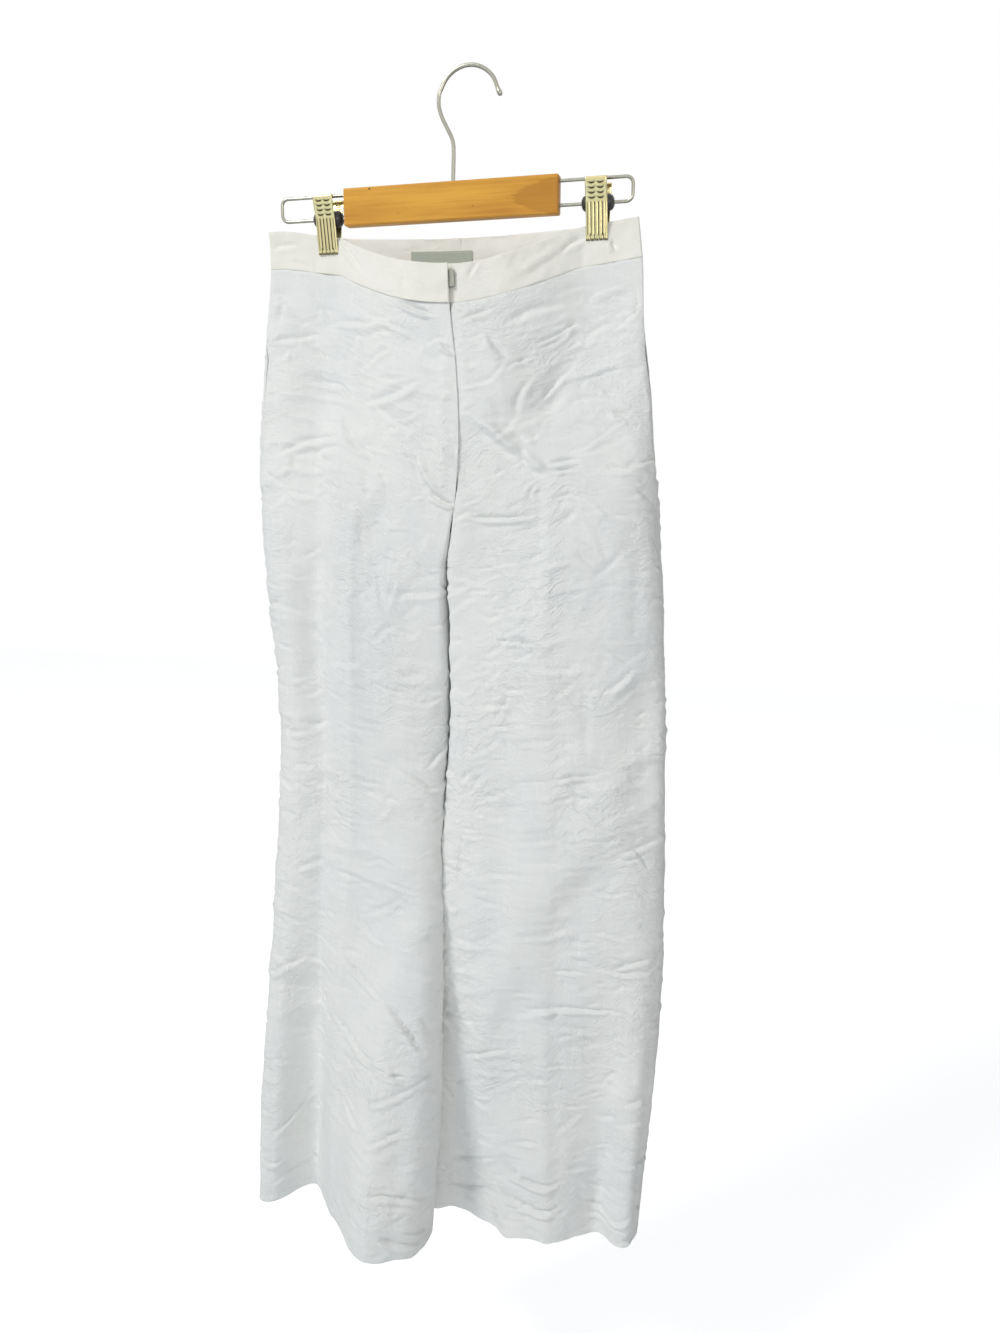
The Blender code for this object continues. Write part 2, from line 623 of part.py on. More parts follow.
def make_clips(metal, black, where):
    """Two sprung plates on a round barrel, which turns and slides on the lower wire."""
    barrel = [*BARREL_PROFILE, *((-x, radius) for x, radius in reversed(BARREL_PROFILE))]
    for side, clip_x in CLIP_X.items():
        for face, sign in (("front", -1), ("back", 1)):
            points = np.array(
                [
                    [(clip_x + x, sign * y * MM, z * MM) for x in np.linspace(-0.5, 0.5, 3) * CLIP_WIDTH]
                    for y, z in PLATE_PROFILE
                ]
            )
            loft(f"clip_{face}_plate_{side}", points, CLIP_PLATE, metal, where)
        ring = bpy.data.meshes.new("barrel")
        verts = [(x * MM, 0, radius * MM) for x, radius in barrel]
        ring.from_pydata(verts, [(i, (i + 1) % len(verts)) for i in range(len(verts))], [])
        made = placed(f"clip_barrel_{side}", ring, black, where)
        made.location = (clip_x, 0, LOWER_WIRE_Z)
        turn = made.modifiers.new("Turn", "SCREW")
        turn.axis = "X"
        turn.steps = turn.render_steps = 16
        turn.use_merge_vertices = True
        turn.merge_threshold = 1e-5


def main():
    clear_scene()
    garment = collection("barrel_leg_trousers_on_hanger")
    cutters = collection("cutters")
    linen = material("linen", (0.86, 0.87, 0.85), 0.85)
    lining = material("pocketing", (0.84, 0.84, 0.81), 0.9)
    satin = material("label_satin", (0.62, 0.65, 0.60), 0.45)
    tape = material("zip_tape", (0.85, 0.85, 0.82), 0.8)
    wood = material("wood", (0.73, 0.37, 0.07), 0.45)
    steel = material("wire_steel", (0.60, 0.60, 0.57), 0.25, 1.0)
    plated = material("clip_metal", (0.62, 0.58, 0.45), 0.3, 1.0)
    black = material("clip_barrel", (0.02, 0.02, 0.02), 0.4)
    make_panels(linen, garment)
    make_waistband(linen, garment)
    make_fastener(steel, garment)
    make_fly(linen, tape, steel, garment)
    make_label(satin, garment)
    make_pocket_bags(lining, garment)
    make_hook(steel, garment)
    make_loops(steel, garment)
    make_bar(wood, garment, cutters)
    make_clips(plated, black, garment)


main()
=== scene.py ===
import math
from collections import namedtuple

import bpy
import numpy as np
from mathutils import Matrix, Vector


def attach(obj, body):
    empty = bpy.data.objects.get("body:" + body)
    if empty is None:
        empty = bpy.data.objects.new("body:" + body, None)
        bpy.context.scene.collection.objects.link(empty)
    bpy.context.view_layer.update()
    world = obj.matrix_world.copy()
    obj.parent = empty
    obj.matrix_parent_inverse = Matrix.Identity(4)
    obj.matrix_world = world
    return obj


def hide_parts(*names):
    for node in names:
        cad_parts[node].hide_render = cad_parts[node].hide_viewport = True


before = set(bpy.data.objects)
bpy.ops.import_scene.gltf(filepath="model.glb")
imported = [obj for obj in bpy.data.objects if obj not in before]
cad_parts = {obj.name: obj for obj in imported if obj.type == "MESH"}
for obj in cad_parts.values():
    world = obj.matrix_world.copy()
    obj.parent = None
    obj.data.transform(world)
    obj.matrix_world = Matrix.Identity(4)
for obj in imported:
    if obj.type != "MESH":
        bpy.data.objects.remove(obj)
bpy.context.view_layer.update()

mm = 0.001

# Everything is in metres, +Z up, and the front of the trousers faces -Y. The origin is where the
# hook rests on its rail. "left" and "right" are the viewer's, seen from the front.

camera = {
    "place": (0.2801, -0.9447, -0.3302),
    "tilt": 78.5,  # degrees from straight down
    "turn": 15.0,
    "lens": 28.006,
}


def makeCamera():
    data = bpy.data.cameras.new("camera")
    data.lens = camera["lens"]
    made = bpy.data.objects.new("camera", data)
    made.location = camera["place"]
    made.rotation_euler = (math.radians(camera["tilt"]), 0, math.radians(camera["turn"]))
    bpy.context.scene.collection.objects.link(made)
    bpy.context.scene.camera = made


makeCamera()
print("camera set")


def smooth(value, start, end):
    t = np.clip((value - start) / (end - start), 0.0, 1.0)
    return t * t * (3 - 2 * t)


def mix(a, b, share):
    return a + (b - a) * share


# 1 between two fades and 0 outside them.
def tapered(value, fades):
    rise, fall = fades
    return smooth(value, *rise) * (1 - smooth(value, *fall))


# A smooth path through points, as a Catmull-Rom curve.
def through(points, steps):
    points = [np.array(point, float) for point in points]
    ends = [2 * points[0] - points[1], *points, 2 * points[-1] - points[-2]]
    path = [points[0]]
    for a, b, c, d in zip(ends, ends[1:], ends[2:], ends[3:]):
        for i in range(1, steps + 1):
            t = i / steps
            curve = 2 * b + (c - a) * t + (2 * a - 5 * b + 4 * c - d) * t**2
            path.append((curve + (3 * b - a - 3 * c + d) * t**3) / 2)
    return np.array(path)


noiseCells = 64


# Smooth random values from -1 to 1, about one swell to each unit of x and y.
def softNoise(x, y, seed):
    table = np.random.default_rng(seed).uniform(-1, 1, (noiseCells, noiseCells))
    column, row = np.floor(x).astype(int), np.floor(y).astype(int)
    across, down = smooth(x - column, 0, 1), smooth(y - row, 0, 1)
    left, right = column % noiseCells, (column + 1) % noiseCells
    top, bottom = row % noiseCells, (row + 1) % noiseCells
    upper = mix(table[top, left], table[top, right], across)
    lower = mix(table[bottom, left], table[bottom, right], across)
    return mix(upper, lower, down)


edgeStops = np.array([0.0, 0.12, 0.35, 0.7])  # shares of the stretch beside an edge


# Even stops from start to end, with closer ones over the last stretch at both ends.
def spaced(start, end, steps, edge):
    inner = np.linspace(start + edge, end - edge, steps)
    return np.concatenate([start + edge * edgeStops, inner, end - edge * edgeStops[::-1]])


def meshObject(name, verts, faces, finish, uvs=None, hollow=None):
    mesh = bpy.data.meshes.new(name)
    mesh.from_pydata(np.asarray(verts, float).tolist(), [], faces)
    if uvs is not None:
        corners = np.zeros(len(mesh.loops), np.int32)
        mesh.loops.foreach_get("vertex_index", corners)
        layer = mesh.uv_layers.new(name="cloth")
        layer.data.foreach_set("uv", np.asarray(uvs, np.float32)[corners].ravel())
    # hollow is a point attribute of painted shade, read by the stamped metal
    if hollow is not None:
        made = mesh.attributes.new("hollow", "FLOAT", "POINT")
        made.data.foreach_set("value", np.asarray(hollow, np.float32))
    mesh.shade_smooth()
    mesh.materials.append(finish)
    made = bpy.data.objects.new(name, mesh)
    bpy.context.scene.collection.objects.link(made)
    return made


# Unit normals of a grid of points; side is 1 where its columns run to the viewer's right.
def facing(middle, side):
    down = np.gradient(middle, axis=0)
    across = np.gradient(middle, axis=1)
    out = np.cross(down, across) * side
    return out / np.maximum(np.linalg.norm(out, axis=-1, keepdims=True), 1e-12)


# How far along a grid each point is, from its first row or column.
def lengths(middle, axis):
    steps = np.linalg.norm(np.diff(middle, axis=axis), axis=-1)
    none = np.zeros_like(np.take(steps, [0], axis=axis))
    return np.concatenate([none, np.cumsum(steps, axis=axis)], axis=axis)


def gridFaces(index):
    corners = [index[:-1, :-1], index[1:, :-1], index[1:, 1:], index[:-1, 1:]]
    return np.stack(corners, axis=-1).reshape(-1, 4).tolist()


# Closes one edge between the two sides of a shell.
def rimFaces(outer, inner, coarse):
    outer, inner = outer.tolist(), inner.tolist()
    faces = []
    for i in range(len(inner) - 1):
        start = i * coarse
        faces.append(outer[start : start + coarse + 1] + [inner[i + 1], inner[i]])
    return faces


thinRim = 0.2  # of its thickness is left at the very edge of a shell


# A closed sheet round a grid of middle points, with rounded edges and a UV map in metres. Its back
# keeps one in every "coarse" rows and columns.
def shell(name, middle, thick, side, finish, rounding=0.6 * mm, hollow=None, coarse=1):
    normals = facing(middle, side)
    across, down = lengths(middle, 1), lengths(middle, 0)
    toSides = np.minimum(across, across[:, -1:] - across)
    toEdge = np.minimum(toSides, np.minimum(down, down[-1:] - down))
    rise = np.sqrt(np.clip(1 - (1 - np.clip(toEdge / rounding, 0, 1)) ** 2, 0, 1))
    half = (thick / 2 * np.maximum(rise, thinRim))[..., None]
    outer = middle + normals * half
    inner = (middle - normals * half)[::coarse, ::coarse]
    uvs = np.stack([across, down], axis=-1)
    front = np.arange(outer[..., 0].size).reshape(outer.shape[:2])
    back = np.arange(inner[..., 0].size).reshape(inner.shape[:2]) + front.size
    faces = gridFaces(front)
    faces += [face[::-1] for face in gridFaces(back)]
    faces += rimFaces(front[0], back[0], coarse)
    faces += rimFaces(front[-1][::-1], back[-1][::-1], coarse)
    faces += rimFaces(front[:, 0][::-1], back[:, 0][::-1], coarse)
    faces += rimFaces(front[:, -1], back[:, -1], coarse)
    if side < 0:
        faces = [face[::-1] for face in faces]
    verts = np.concatenate([outer.reshape(-1, 3), inner.reshape(-1, 3)])
    allUvs = np.concatenate([uvs.reshape(-1, 2), uvs[::coarse, ::coarse].reshape(-1, 2)])
    # the painted shade lies on the front side only; the back side gets none
    if hollow is not None:
        hollow = np.concatenate([hollow.ravel(), np.zeros(back.size)])
    return meshObject(name, verts, faces, finish, allUvs, hollow)


# A round wire along a path that lies across the Y axis, closed at both ends.
def tube(name, path, radii, sides, finish):
    path = np.asarray(path, float)
    ahead = np.gradient(path, axis=0)
    ahead /= np.linalg.norm(ahead, axis=1, keepdims=True)
    first = np.cross(ahead, np.array([0.0, 1.0, 0.0]))
    first /= np.linalg.norm(first, axis=1, keepdims=True)
    second = np.cross(ahead, first)
    angles = np.linspace(0, 2 * math.pi, sides, endpoint=False)[None, :, None]
    ring = first[:, None] * np.cos(angles) + second[:, None] * np.sin(angles)
    rings = path[:, None] + np.asarray(radii)[:, None, None] * ring
    verts = np.concatenate([rings.reshape(-1, 3), path[:1], path[-1:]])
    faces = []
    start, end = len(verts) - 2, len(verts) - 1
    last = (len(path) - 1) * sides
    for j in range(sides):
        k = (j + 1) % sides
        for low in range(0, last, sides):
            faces.append((low + j, low + k, low + sides + k, low + sides + j))
        faces.append((start, k, j))
        faces.append((end, last + j, last + k))
    return meshObject(name, verts, faces, finish)


def addNode(tree, kind, **settings):
    made = tree.nodes.new(kind)
    for name, value in settings.items():
        setattr(made, name, value)
    return made


def join(tree, source, output, target, entry):
    tree.links.new(source.outputs[output], target.inputs[entry])


def combined(tree, operation, a, b):
    made = addNode(tree, "ShaderNodeMath", operation=operation)
    for entry, value in ((0, a), (1, b)):
        if isinstance(value, (int, float)):
            made.inputs[entry].default_value = value
        else:
            tree.links.new(value, made.inputs[entry])
    return made.outputs[0]


# Stretches a value's range; soft gives it rounded ends.
def ranged(tree, value, low, high, toLow=0.0, toHigh=1.0, soft=False):
    made = addNode(tree, "ShaderNodeMapRange")
    if soft:
        made.interpolation_type = "SMOOTHSTEP"
    made.inputs["From Min"].default_value = low
    made.inputs["From Max"].default_value = high
    made.inputs["To Min"].default_value = toLow
    made.inputs["To Max"].default_value = toHigh
    tree.links.new(value, made.inputs["Value"])
    return made.outputs[0]


def newGroup(name, inputs, outputs):
    group = bpy.data.node_groups.new(name, "ShaderNodeTree")
    for label, kind, value in inputs:
        socket = group.interface.new_socket(name=label, in_out="INPUT", socket_type=kind)
        if value is not None:
            socket.default_value = value
    for label, kind in outputs:
        group.interface.new_socket(name=label, in_out="OUTPUT", socket_type=kind)
    return group, addNode(group, "NodeGroupInput"), addNode(group, "NodeGroupOutput")


def stretched(tree, source, output, scale):
    place = addNode(tree, "ShaderNodeMapping")
    place.inputs["Scale"].default_value = scale
    join(tree, source, output, place, "Vector")
    return place


def noise(tree, source, output, scale=1.0, detail=2.0, roughness=0.5):
    made = addNode(tree, "ShaderNodeTexNoise")
    made.inputs["Scale"].default_value = scale
    made.inputs["Detail"].default_value = detail
    made.inputs["Roughness"].default_value = roughness
    join(tree, source, output, made, "Vector")
    return made


# Noise that is longer one way than another; each of its scales is swells to a metre.
def cloudOf(tree, source, output, scales, **settings):
    return noise(tree, stretched(tree, source, output, scales), "Vector", **settings).outputs["Fac"]


weave = {
    "slubs": [(650, 26, 1), (22, 650, 1)],  # the thick warp threads and the thick weft threads
    "slubRange": (0.5, 0.85),
    "crossings": 0.5,  # the height of the plain weave beside that of a slub
}


# Plain weave over a UV map in metres: its height, and a mask of the thicker threads.
def makeWeaveGroup():
    inputs = [
        ("UV", "NodeSocketVector", None),
        ("Threads per metre", "NodeSocketFloat", 1400.0),
        ("Slub", "NodeSocketFloat", 0.5),
    ]
    outputs = [("Height", "NodeSocketFloat"), ("Slubs", "NodeSocketFloat")]
    group, given, out = newGroup("weave", inputs, outputs)
    split = addNode(group, "ShaderNodeSeparateXYZ")
    join(group, given, "UV", split, 0)
    waves = []
    for axis in (0, 1):
        turns = combined(group, "MULTIPLY", split.outputs[axis], given.outputs["Threads per metre"])
        wave = addNode(group, "ShaderNodeMath", operation="SINE")
        group.links.new(combined(group, "MULTIPLY", turns, math.pi), wave.inputs[0])
        waves.append(wave.outputs[0])
    checker = combined(group, "MULTIPLY", *waves)
    thick = [cloudOf(group, given, "UV", scales, detail=3.0, roughness=0.6) for scales in weave["slubs"]]
    slubs = ranged(group, combined(group, "MAXIMUM", *thick), *weave["slubRange"])
    raised = combined(group, "MULTIPLY", slubs, given.outputs["Slub"])
    crossed = combined(group, "MULTIPLY", checker, weave["crossings"])
    group.links.new(combined(group, "ADD", crossed, raised), out.inputs["Height"])
    group.links.new(slubs, out.inputs["Slubs"])
    return group


crumpled = {
    "swells": 30.0,  # to a metre
    "bend": 20 * mm,  # how far the ridges wander
    "ridges": [(90.0, 0.35, (0.5, 1.0, 1)), (230.0, 0.25, (0.6, 1.0, 1))],  # scale, height, squash
    "ridgeWidth": 0.13,
    "patches": 11.0,  # to a metre
    "patchRange": (0.38, 0.62),
    "calmShare": 0.25,  # of the ridges' height between the patches
}


# Small crumples over a UV map in metres: sharp bent ridges between low swells, in patches.
def makeCrumpleGroup():
    inputs = [("UV", "NodeSocketVector", None)]
    group, given, out = newGroup("crumple", inputs, [("Height", "NodeSocketFloat")])
    wide = noise(group, given, "UV", crumpled["swells"], detail=2.0)
    bend = addNode(group, "ShaderNodeVectorMath", operation="MULTIPLY_ADD")
    bend.inputs[1].default_value = (crumpled["bend"], crumpled["bend"], 0.0)
    join(group, wide, "Color", bend, 0)
    join(group, given, "UV", bend, 2)
    ridges = []
    for scale, height, squash in crumpled["ridges"]:
        lines = cloudOf(group, bend, "Vector", squash, scale=scale, detail=1.0, roughness=0.4)
        away = combined(group, "ABSOLUTE", combined(group, "SUBTRACT", lines, 0.5), 0.0)
        ridge = ranged(group, away, 0.0, crumpled["ridgeWidth"], 1.0, 0.0)
        ridges.append(combined(group, "MULTIPLY", ridge, height))
    patches = noise(group, given, "UV", crumpled["patches"], detail=1.0)
    where = ranged(group, patches.outputs["Fac"], *crumpled["patchRange"], crumpled["calmShare"], 1.0)
    marked = combined(group, "MULTIPLY", combined(group, "ADD", *ridges), where)
    group.links.new(combined(group, "ADD", marked, wide.outputs["Fac"]), out.inputs["Height"])
    return group


weaveGroup = makeWeaveGroup()
crumpleGroup = makeCrumpleGroup()


def newMaterial(name):
    made = bpy.data.materials.new(name)
    made.use_nodes = True
    return made, made.node_tree, made.node_tree.nodes["Principled BSDF"]


def placedGroup(tree, group, values, uv):
    made = addNode(tree, "ShaderNodeGroup", node_tree=group)
    for label, value in values.items():
        made.inputs[label].default_value = value
    join(tree, uv, "UV", made, "UV")
    return made


def blended(tree, factor, first, second, kind="MIX"):
    made = addNode(tree, "ShaderNodeMix", data_type="RGBA", blend_type=kind)
    tree.links.new(factor, made.inputs[0])
    for entry, value in ((6, first), (7, second)):
        if isinstance(value, tuple):
            made.inputs[entry].default_value = (*value, 1)
        else:
            tree.links.new(value, made.inputs[entry])
    return made.outputs[2]


def bump(tree, height, distance, strength, under=None):
    made = addNode(tree, "ShaderNodeBump")
    made.inputs["Distance"].default_value = distance
    made.inputs["Strength"].default_value = strength
    tree.links.new(height, made.inputs["Height"])
    if under is not None:
        tree.links.new(under, made.inputs["Normal"])
    return made.outputs["Normal"]


Cloth = namedtuple("Cloth", "light dark cloud threads slub crumple rough sheen")
cloths = {
    "linen": Cloth(
        (0.91, 0.915, 0.90), (0.835, 0.84, 0.82), (0.965, 0.97, 0.99), 1300.0, 0.6, 1.2 * mm, 0.9, 0.1
    ),
    # a lighter, warmer copy of the leg linen: painted light for the light that falls on the waistband
    "bandLinenPaintedLight": Cloth(
        (0.93, 0.92, 0.865), (0.90, 0.885, 0.825), (0.99, 0.97, 0.93), 1300.0, 0.6, 0.5 * mm, 0.9, 0.1
    ),
    # lighter still: painted light on the inside of the back waistband, where the bar and the front band
    # shade it
    "backBandLinenPaintedLight": Cloth(
        (0.985, 0.98, 0.945), (0.965, 0.96, 0.92), (0.99, 0.97, 0.93), 1300.0, 0.6, 0.5 * mm, 0.9, 0.1
    ),
    "pocketing": Cloth(
        (0.84, 0.84, 0.80), (0.79, 0.79, 0.75), (0.98, 0.97, 0.95), 2200.0, 0.2, 0.6 * mm, 0.92, 0.05
    ),
    "zipTape": Cloth(
        (0.84, 0.83, 0.78), (0.74, 0.73, 0.68), (0.98, 0.97, 0.95), 1700.0, 0.3, 0.1 * mm, 0.8, 0.05
    ),
    # greenish grey: painted shade on the label, which hangs in shade inside the back waistband
    "labelSatinPaintedShade": Cloth(
        (0.56, 0.60, 0.53), (0.50, 0.54, 0.47), (0.98, 0.98, 0.95), 3000.0, 0.15, 0.1 * mm, 0.45, 0.1
    ),
    "sewingThread": Cloth(
        (0.88, 0.88, 0.84), (0.80, 0.80, 0.76), (0.98, 0.98, 0.95), 4000.0, 0.2, 0.05 * mm, 0.6, 0.2
    ),
}
clothLook = {
    "clouds": (14, 14, 7),  # to a metre
    "cloudRange": (0.4, 0.66),
    "weaveHeight": 0.16 * mm,
    "weaveStrength": 0.6,
    "specular": 0.25,
    "sheenRoughness": 0.5,
}


# Woven cloth: lighter slubs on darker threads, faint clouds of tone, weave and small crumples.
def makeCloth(name):
    look = cloths[name]
    made, tree, shader = newMaterial(name)
    uv = addNode(tree, "ShaderNodeUVMap", uv_map="cloth")
    threads = placedGroup(tree, weaveGroup, {"Threads per metre": look.threads, "Slub": look.slub}, uv)
    crumples = placedGroup(tree, crumpleGroup, {}, uv)
    tone = blended(tree, threads.outputs["Slubs"], look.dark, look.light)
    place = addNode(tree, "ShaderNodeTexCoord")
    clouds = cloudOf(tree, place, "Object", clothLook["clouds"], detail=4.0, roughness=0.6)
    share = ranged(tree, clouds, *clothLook["cloudRange"])
    colour = blended(tree, share, tone, look.cloud, "MULTIPLY")
    tree.links.new(colour, shader.inputs["Base Color"])
    soft = bump(tree, crumples.outputs["Height"], look.crumple, 1.0)
    fine = bump(tree, threads.outputs["Height"], clothLook["weaveHeight"], clothLook["weaveStrength"], soft)
    tree.links.new(fine, shader.inputs["Normal"])
    shader.inputs["Roughness"].default_value = look.rough
    shader.inputs["Specular IOR Level"].default_value = clothLook["specular"]
    shader.inputs["Sheen Weight"].default_value = look.sheen
    shader.inputs["Sheen Roughness"].default_value = clothLook["sheenRoughness"]
    return made


linen = makeCloth("linen")
bandLinenPaintedLight = makeCloth("bandLinenPaintedLight")
backBandLinenPaintedLight = makeCloth("backBandLinenPaintedLight")
pocketing = makeCloth("pocketing")
zipTape = makeCloth("zipTape")
labelSatinPaintedShade = makeCloth("labelSatinPaintedShade")
sewingThread = makeCloth("sewingThread")

metals = {
    "wireSteel": {"bright": (0.50, 0.49, 0.42), "dull": (0.30, 0.29, 0.24), "rough": 0.26},
    "clipMetal": {"bright": (0.80, 0.72, 0.40), "dull": (0.56, 0.49, 0.25), "rough": 0.26},
    "fastenerSteel": {"bright": (0.42, 0.42, 0.37), "dull": (0.24, 0.25, 0.21), "rough": 0.36},
}
plated = {
    "hollow": (0.02, 0.02, 0.018),  # the painted shade's colour in a stamped piece's dimples, between its ribs and by its edges
    "clouds": (160, 160, 160),
    "roughShares": (0.75, 1.5),
    "grain": (900, 900, 900),
    "grainHeight": 0.01 * mm,
}


# Plated steel, dulled in patches; a stamped piece carries painted shade, dark in its hollows and by its
# edges.
def makeMetal(name, stamped=False):
    look = metals[name]
    made, tree, shader = newMaterial(name)
    place = addNode(tree, "ShaderNodeTexCoord")
    clouds = cloudOf(tree, place, "Object", plated["clouds"], detail=4.0, roughness=0.6)
    colour = blended(tree, clouds, look["bright"], look["dull"])
    if stamped:
        depth = addNode(tree, "ShaderNodeAttribute", attribute_name="hollow")
        colour = blended(tree, depth.outputs["Fac"], colour, plated["hollow"])
    tree.links.new(colour, shader.inputs["Base Color"])
    least, most = plated["roughShares"]
    rough = ranged(tree, clouds, 0.0, 1.0, look["rough"] * least, look["rough"] * most)
    tree.links.new(rough, shader.inputs["Roughness"])
    grain = cloudOf(tree, place, "Object", plated["grain"])
    tree.links.new(bump(tree, grain, plated["grainHeight"], 0.5), shader.inputs["Normal"])
    shader.inputs["Metallic"].default_value = 1.0
    return made


wireSteel = makeMetal("wireSteel")
clipMetal = makeMetal("clipMetal", stamped=True)
fastenerSteel = makeMetal("fastenerSteel")

black = {
    "deep": (0.010, 0.010, 0.011),
    "worn": (0.045, 0.045, 0.043),
    "clouds": (240, 240, 240),
    "rough": (0.2, 0.5),
}


def makeBarrelBlack():
    made, tree, shader = newMaterial("clipBarrelBlack")
    place = addNode(tree, "ShaderNodeTexCoord")
    clouds = cloudOf(tree, place, "Object", black["clouds"], detail=3.0)
    tree.links.new(blended(tree, clouds, black["deep"], black["worn"]), shader.inputs["Base Color"])
    tree.links.new(ranged(tree, clouds, 0.0, 1.0, *black["rough"]), shader.inputs["Roughness"])
    return made


clipBarrelBlack = makeBarrelBlack()

wood = {
    "light": (0.80, 0.41, 0.055),
    "dark": (0.56, 0.24, 0.028),
    "figure": (0.46, 0.19, 0.02),
    "speck": (0.09, 0.035, 0.01),
    "grain": (14, 300, 420),
    "grainHeight": 0.12 * mm,
    "grainShare": 0.7,
    "broad": (9, 60, 46),
    "toneRange": (0.62, 1.12),
    "figureStart": 40 * mm,  # x of the tip of the darker figure
    "figureLevel": -110 * mm,  # its height
    "figureOpening": 150.0,
    "figureRagged": 30 * mm,
    "figureEdge": (-2 * mm, 4 * mm),
    "figureShare": 0.6,
    "specks": 62.0,  # to a metre
    "speckRange": (0.05, 0.09),
    "speckShare": 0.85,
    "rough": 0.5,
    "specular": 0.3,
    "lacquer": 0.06,
    "lacquerRough": 0.2,
}


# Honey-coloured wood with long grain, a darker arched figure by its right end and a few specks.
def makeWood():
    made, tree, shader = newMaterial("lacqueredWood")
    place = addNode(tree, "ShaderNodeTexCoord")
    grain = cloudOf(tree, place, "Object", wood["grain"], detail=5.0, roughness=0.6)
    broad = cloudOf(tree, place, "Object", wood["broad"])
    both = combined(tree, "ADD", combined(tree, "MULTIPLY", grain, wood["grainShare"]), broad)
    tone = blended(tree, ranged(tree, both, *wood["toneRange"]), wood["light"], wood["dark"])
    split = addNode(tree, "ShaderNodeSeparateXYZ")
    join(tree, place, "Object", split, 0)
    along = combined(tree, "SUBTRACT", split.outputs["X"], wood["figureStart"])
    level = combined(tree, "SUBTRACT", split.outputs["Z"], wood["figureLevel"])
    high = combined(tree, "MULTIPLY", combined(tree, "MULTIPLY", level, level), wood["figureOpening"])
    ragged = combined(tree, "MULTIPLY", combined(tree, "SUBTRACT", grain, 0.5), wood["figureRagged"])
    inside = combined(tree, "ADD", combined(tree, "SUBTRACT", along, high), ragged)
    figure = ranged(tree, inside, *wood["figureEdge"], 0.0, wood["figureShare"], soft=True)
    figured = blended(tree, figure, tone, wood["figure"])
    dots = addNode(tree, "ShaderNodeTexVoronoi")
    dots.inputs["Scale"].default_value = wood["specks"]
    join(tree, place, "Object", dots, "Vector")
    speck = ranged(tree, dots.outputs["Distance"], *wood["speckRange"], wood["speckShare"], 0.0)
    tree.links.new(blended(tree, speck, figured, wood["speck"]), shader.inputs["Base Color"])
    tree.links.new(bump(tree, grain, wood["grainHeight"], 0.5), shader.inputs["Normal"])
    shader.inputs["Roughness"].default_value = wood["rough"]
    shader.inputs["Specular IOR Level"].default_value = wood["specular"]
    shader.inputs["Coat Weight"].default_value = wood["lacquer"]
    shader.inputs["Coat Roughness"].default_value = wood["lacquerRough"]
    return made


lacqueredWood = makeWood()
print("materials made")

form = {
    "waistZ": -127 * mm,
    "waistTilt": 0.0106,
    "bandHeight": 33.5 * mm,
    "sideLength": 1000 * mm,
    "flyEnd": 215 * mm,
    "crotch": 285 * mm,
    "backCurveTop": 140 * mm,
    "roundFrom": 480 * mm,
    "clipSag": 8 * mm,
    "clipSagEnd": 300 * mm,
    "clipToSide": 0.5,
    "sagPower": {"left": 0.92, "right": 1.1},
    "hipOpen": 240 * mm,
    "sideHalfGap": 1.3 * mm,
    "cornerPower": 2.5,
    "thighCornerPower": 5.5,
    "thighEnds": (600 * mm, 800 * mm),  # where the squarer corner fades
    "cornerSoftness": 0.06,
    "cornerClears": 3 * mm,
    "wall": 1.2 * mm,
    "seamGap": 0.3 * mm,
    "clipX": {"left": -136.5 * mm, "right": 114.5 * mm},
    "clipSoftness": 0.045,
    "clipEdge": 12.5 * mm,  # from a clip's middle to where the cloth swings free of it
}

Section = namedtuple("Section", "drop sideX sideY creaseX frontY backY innerX innerY lobe")

# Millimetres, from the waist down, as in the solids.
legSections = {
    "left": [
        Section(0, -197, 0, -105, -10, 5, -12, 0, 0),
        Section(33, -197, 0, -104, -11, 6, -11, 0, 0),
        Section(90, -202, -4, -100, -18, 14, -5, 0, 0),
        Section(150, -207, -8, -97, -24, 22, -2, 0, 0),
        Section(205, -209, -10, -100, -30, 27, -4, 0, 0),
        Section(285, -209, -10, -106, -36, 30, -17, 2, 2),
        Section(350, -206, -9, -110, -38, 32, -19, 2, 8),
        Section(430, -201, -8, -112, -38, 33, -21, 2, 11),
        Section(500, -202, -8, -113, -37, 34, -26, 1, 10),
        Section(580, -207, -10, -116, -36, 36, -32, 0, 9),
        Section(700, -217, -15, -126, -38, 39, -38, -2, 8),
        Section(800, -225, -22, -134, -44, 42, -42, -4, 6),
        Section(900, -230, -32, -141, -50, 45, -46, -5, 3),
        Section(1000, -233, -42, -144, -54, 47, -48, -6, -5),
    ],
    "right": [
        Section(0, 150, 0, 84, -8, 5, -12, 0, 0),
        Section(33, 154, 0, 83, -9, 6, -11, 0, 0),
        Section(90, 157, 0, 81, -16, 14, -5, 0, 0),
        Section(150, 165, 0, 79, -22, 22, -2, 0, 0),
        Section(205, 169, 1, 79, -27, 27, -4, 0, 0),
        Section(285, 176, 2, 79, -31, 31, -15, 2, 0),
        Section(350, 181, 2, 80, -32, 34, -16, 2, 0),
        Section(430, 185, 3, 82, -31, 37, -18, 2, 0),
        Section(500, 187, 4, 83, -30, 39, -23, 2, 0),
        Section(580, 189, 5, 84, -29, 41, -29, 1, 0),
        Section(700, 190, 6, 83, -28, 44, -35, 0, 0),
        Section(800, 187, 8, 81, -28, 47, -39, -1, 0),
        Section(900, 180, 10, 83, -29, 49, -43, -2, 0),
        Section(1000, 173, 12, 86, -30, 50, -45, -3, 0),
    ],
}

Middle = namedtuple("Middle", "drop frontY backY frontSag backSag")
centreSeams = [
    Middle(0, -28, 8, 30, 3),
    Middle(33, -29, 9, 30, 4),
    Middle(150, -34, 20, 25, 9),
    Middle(285, -38, 30, 20, 20),
    Middle(600, -38, 30, 14, 14),
    Middle(1000, -38, 30, 8, 8),
]

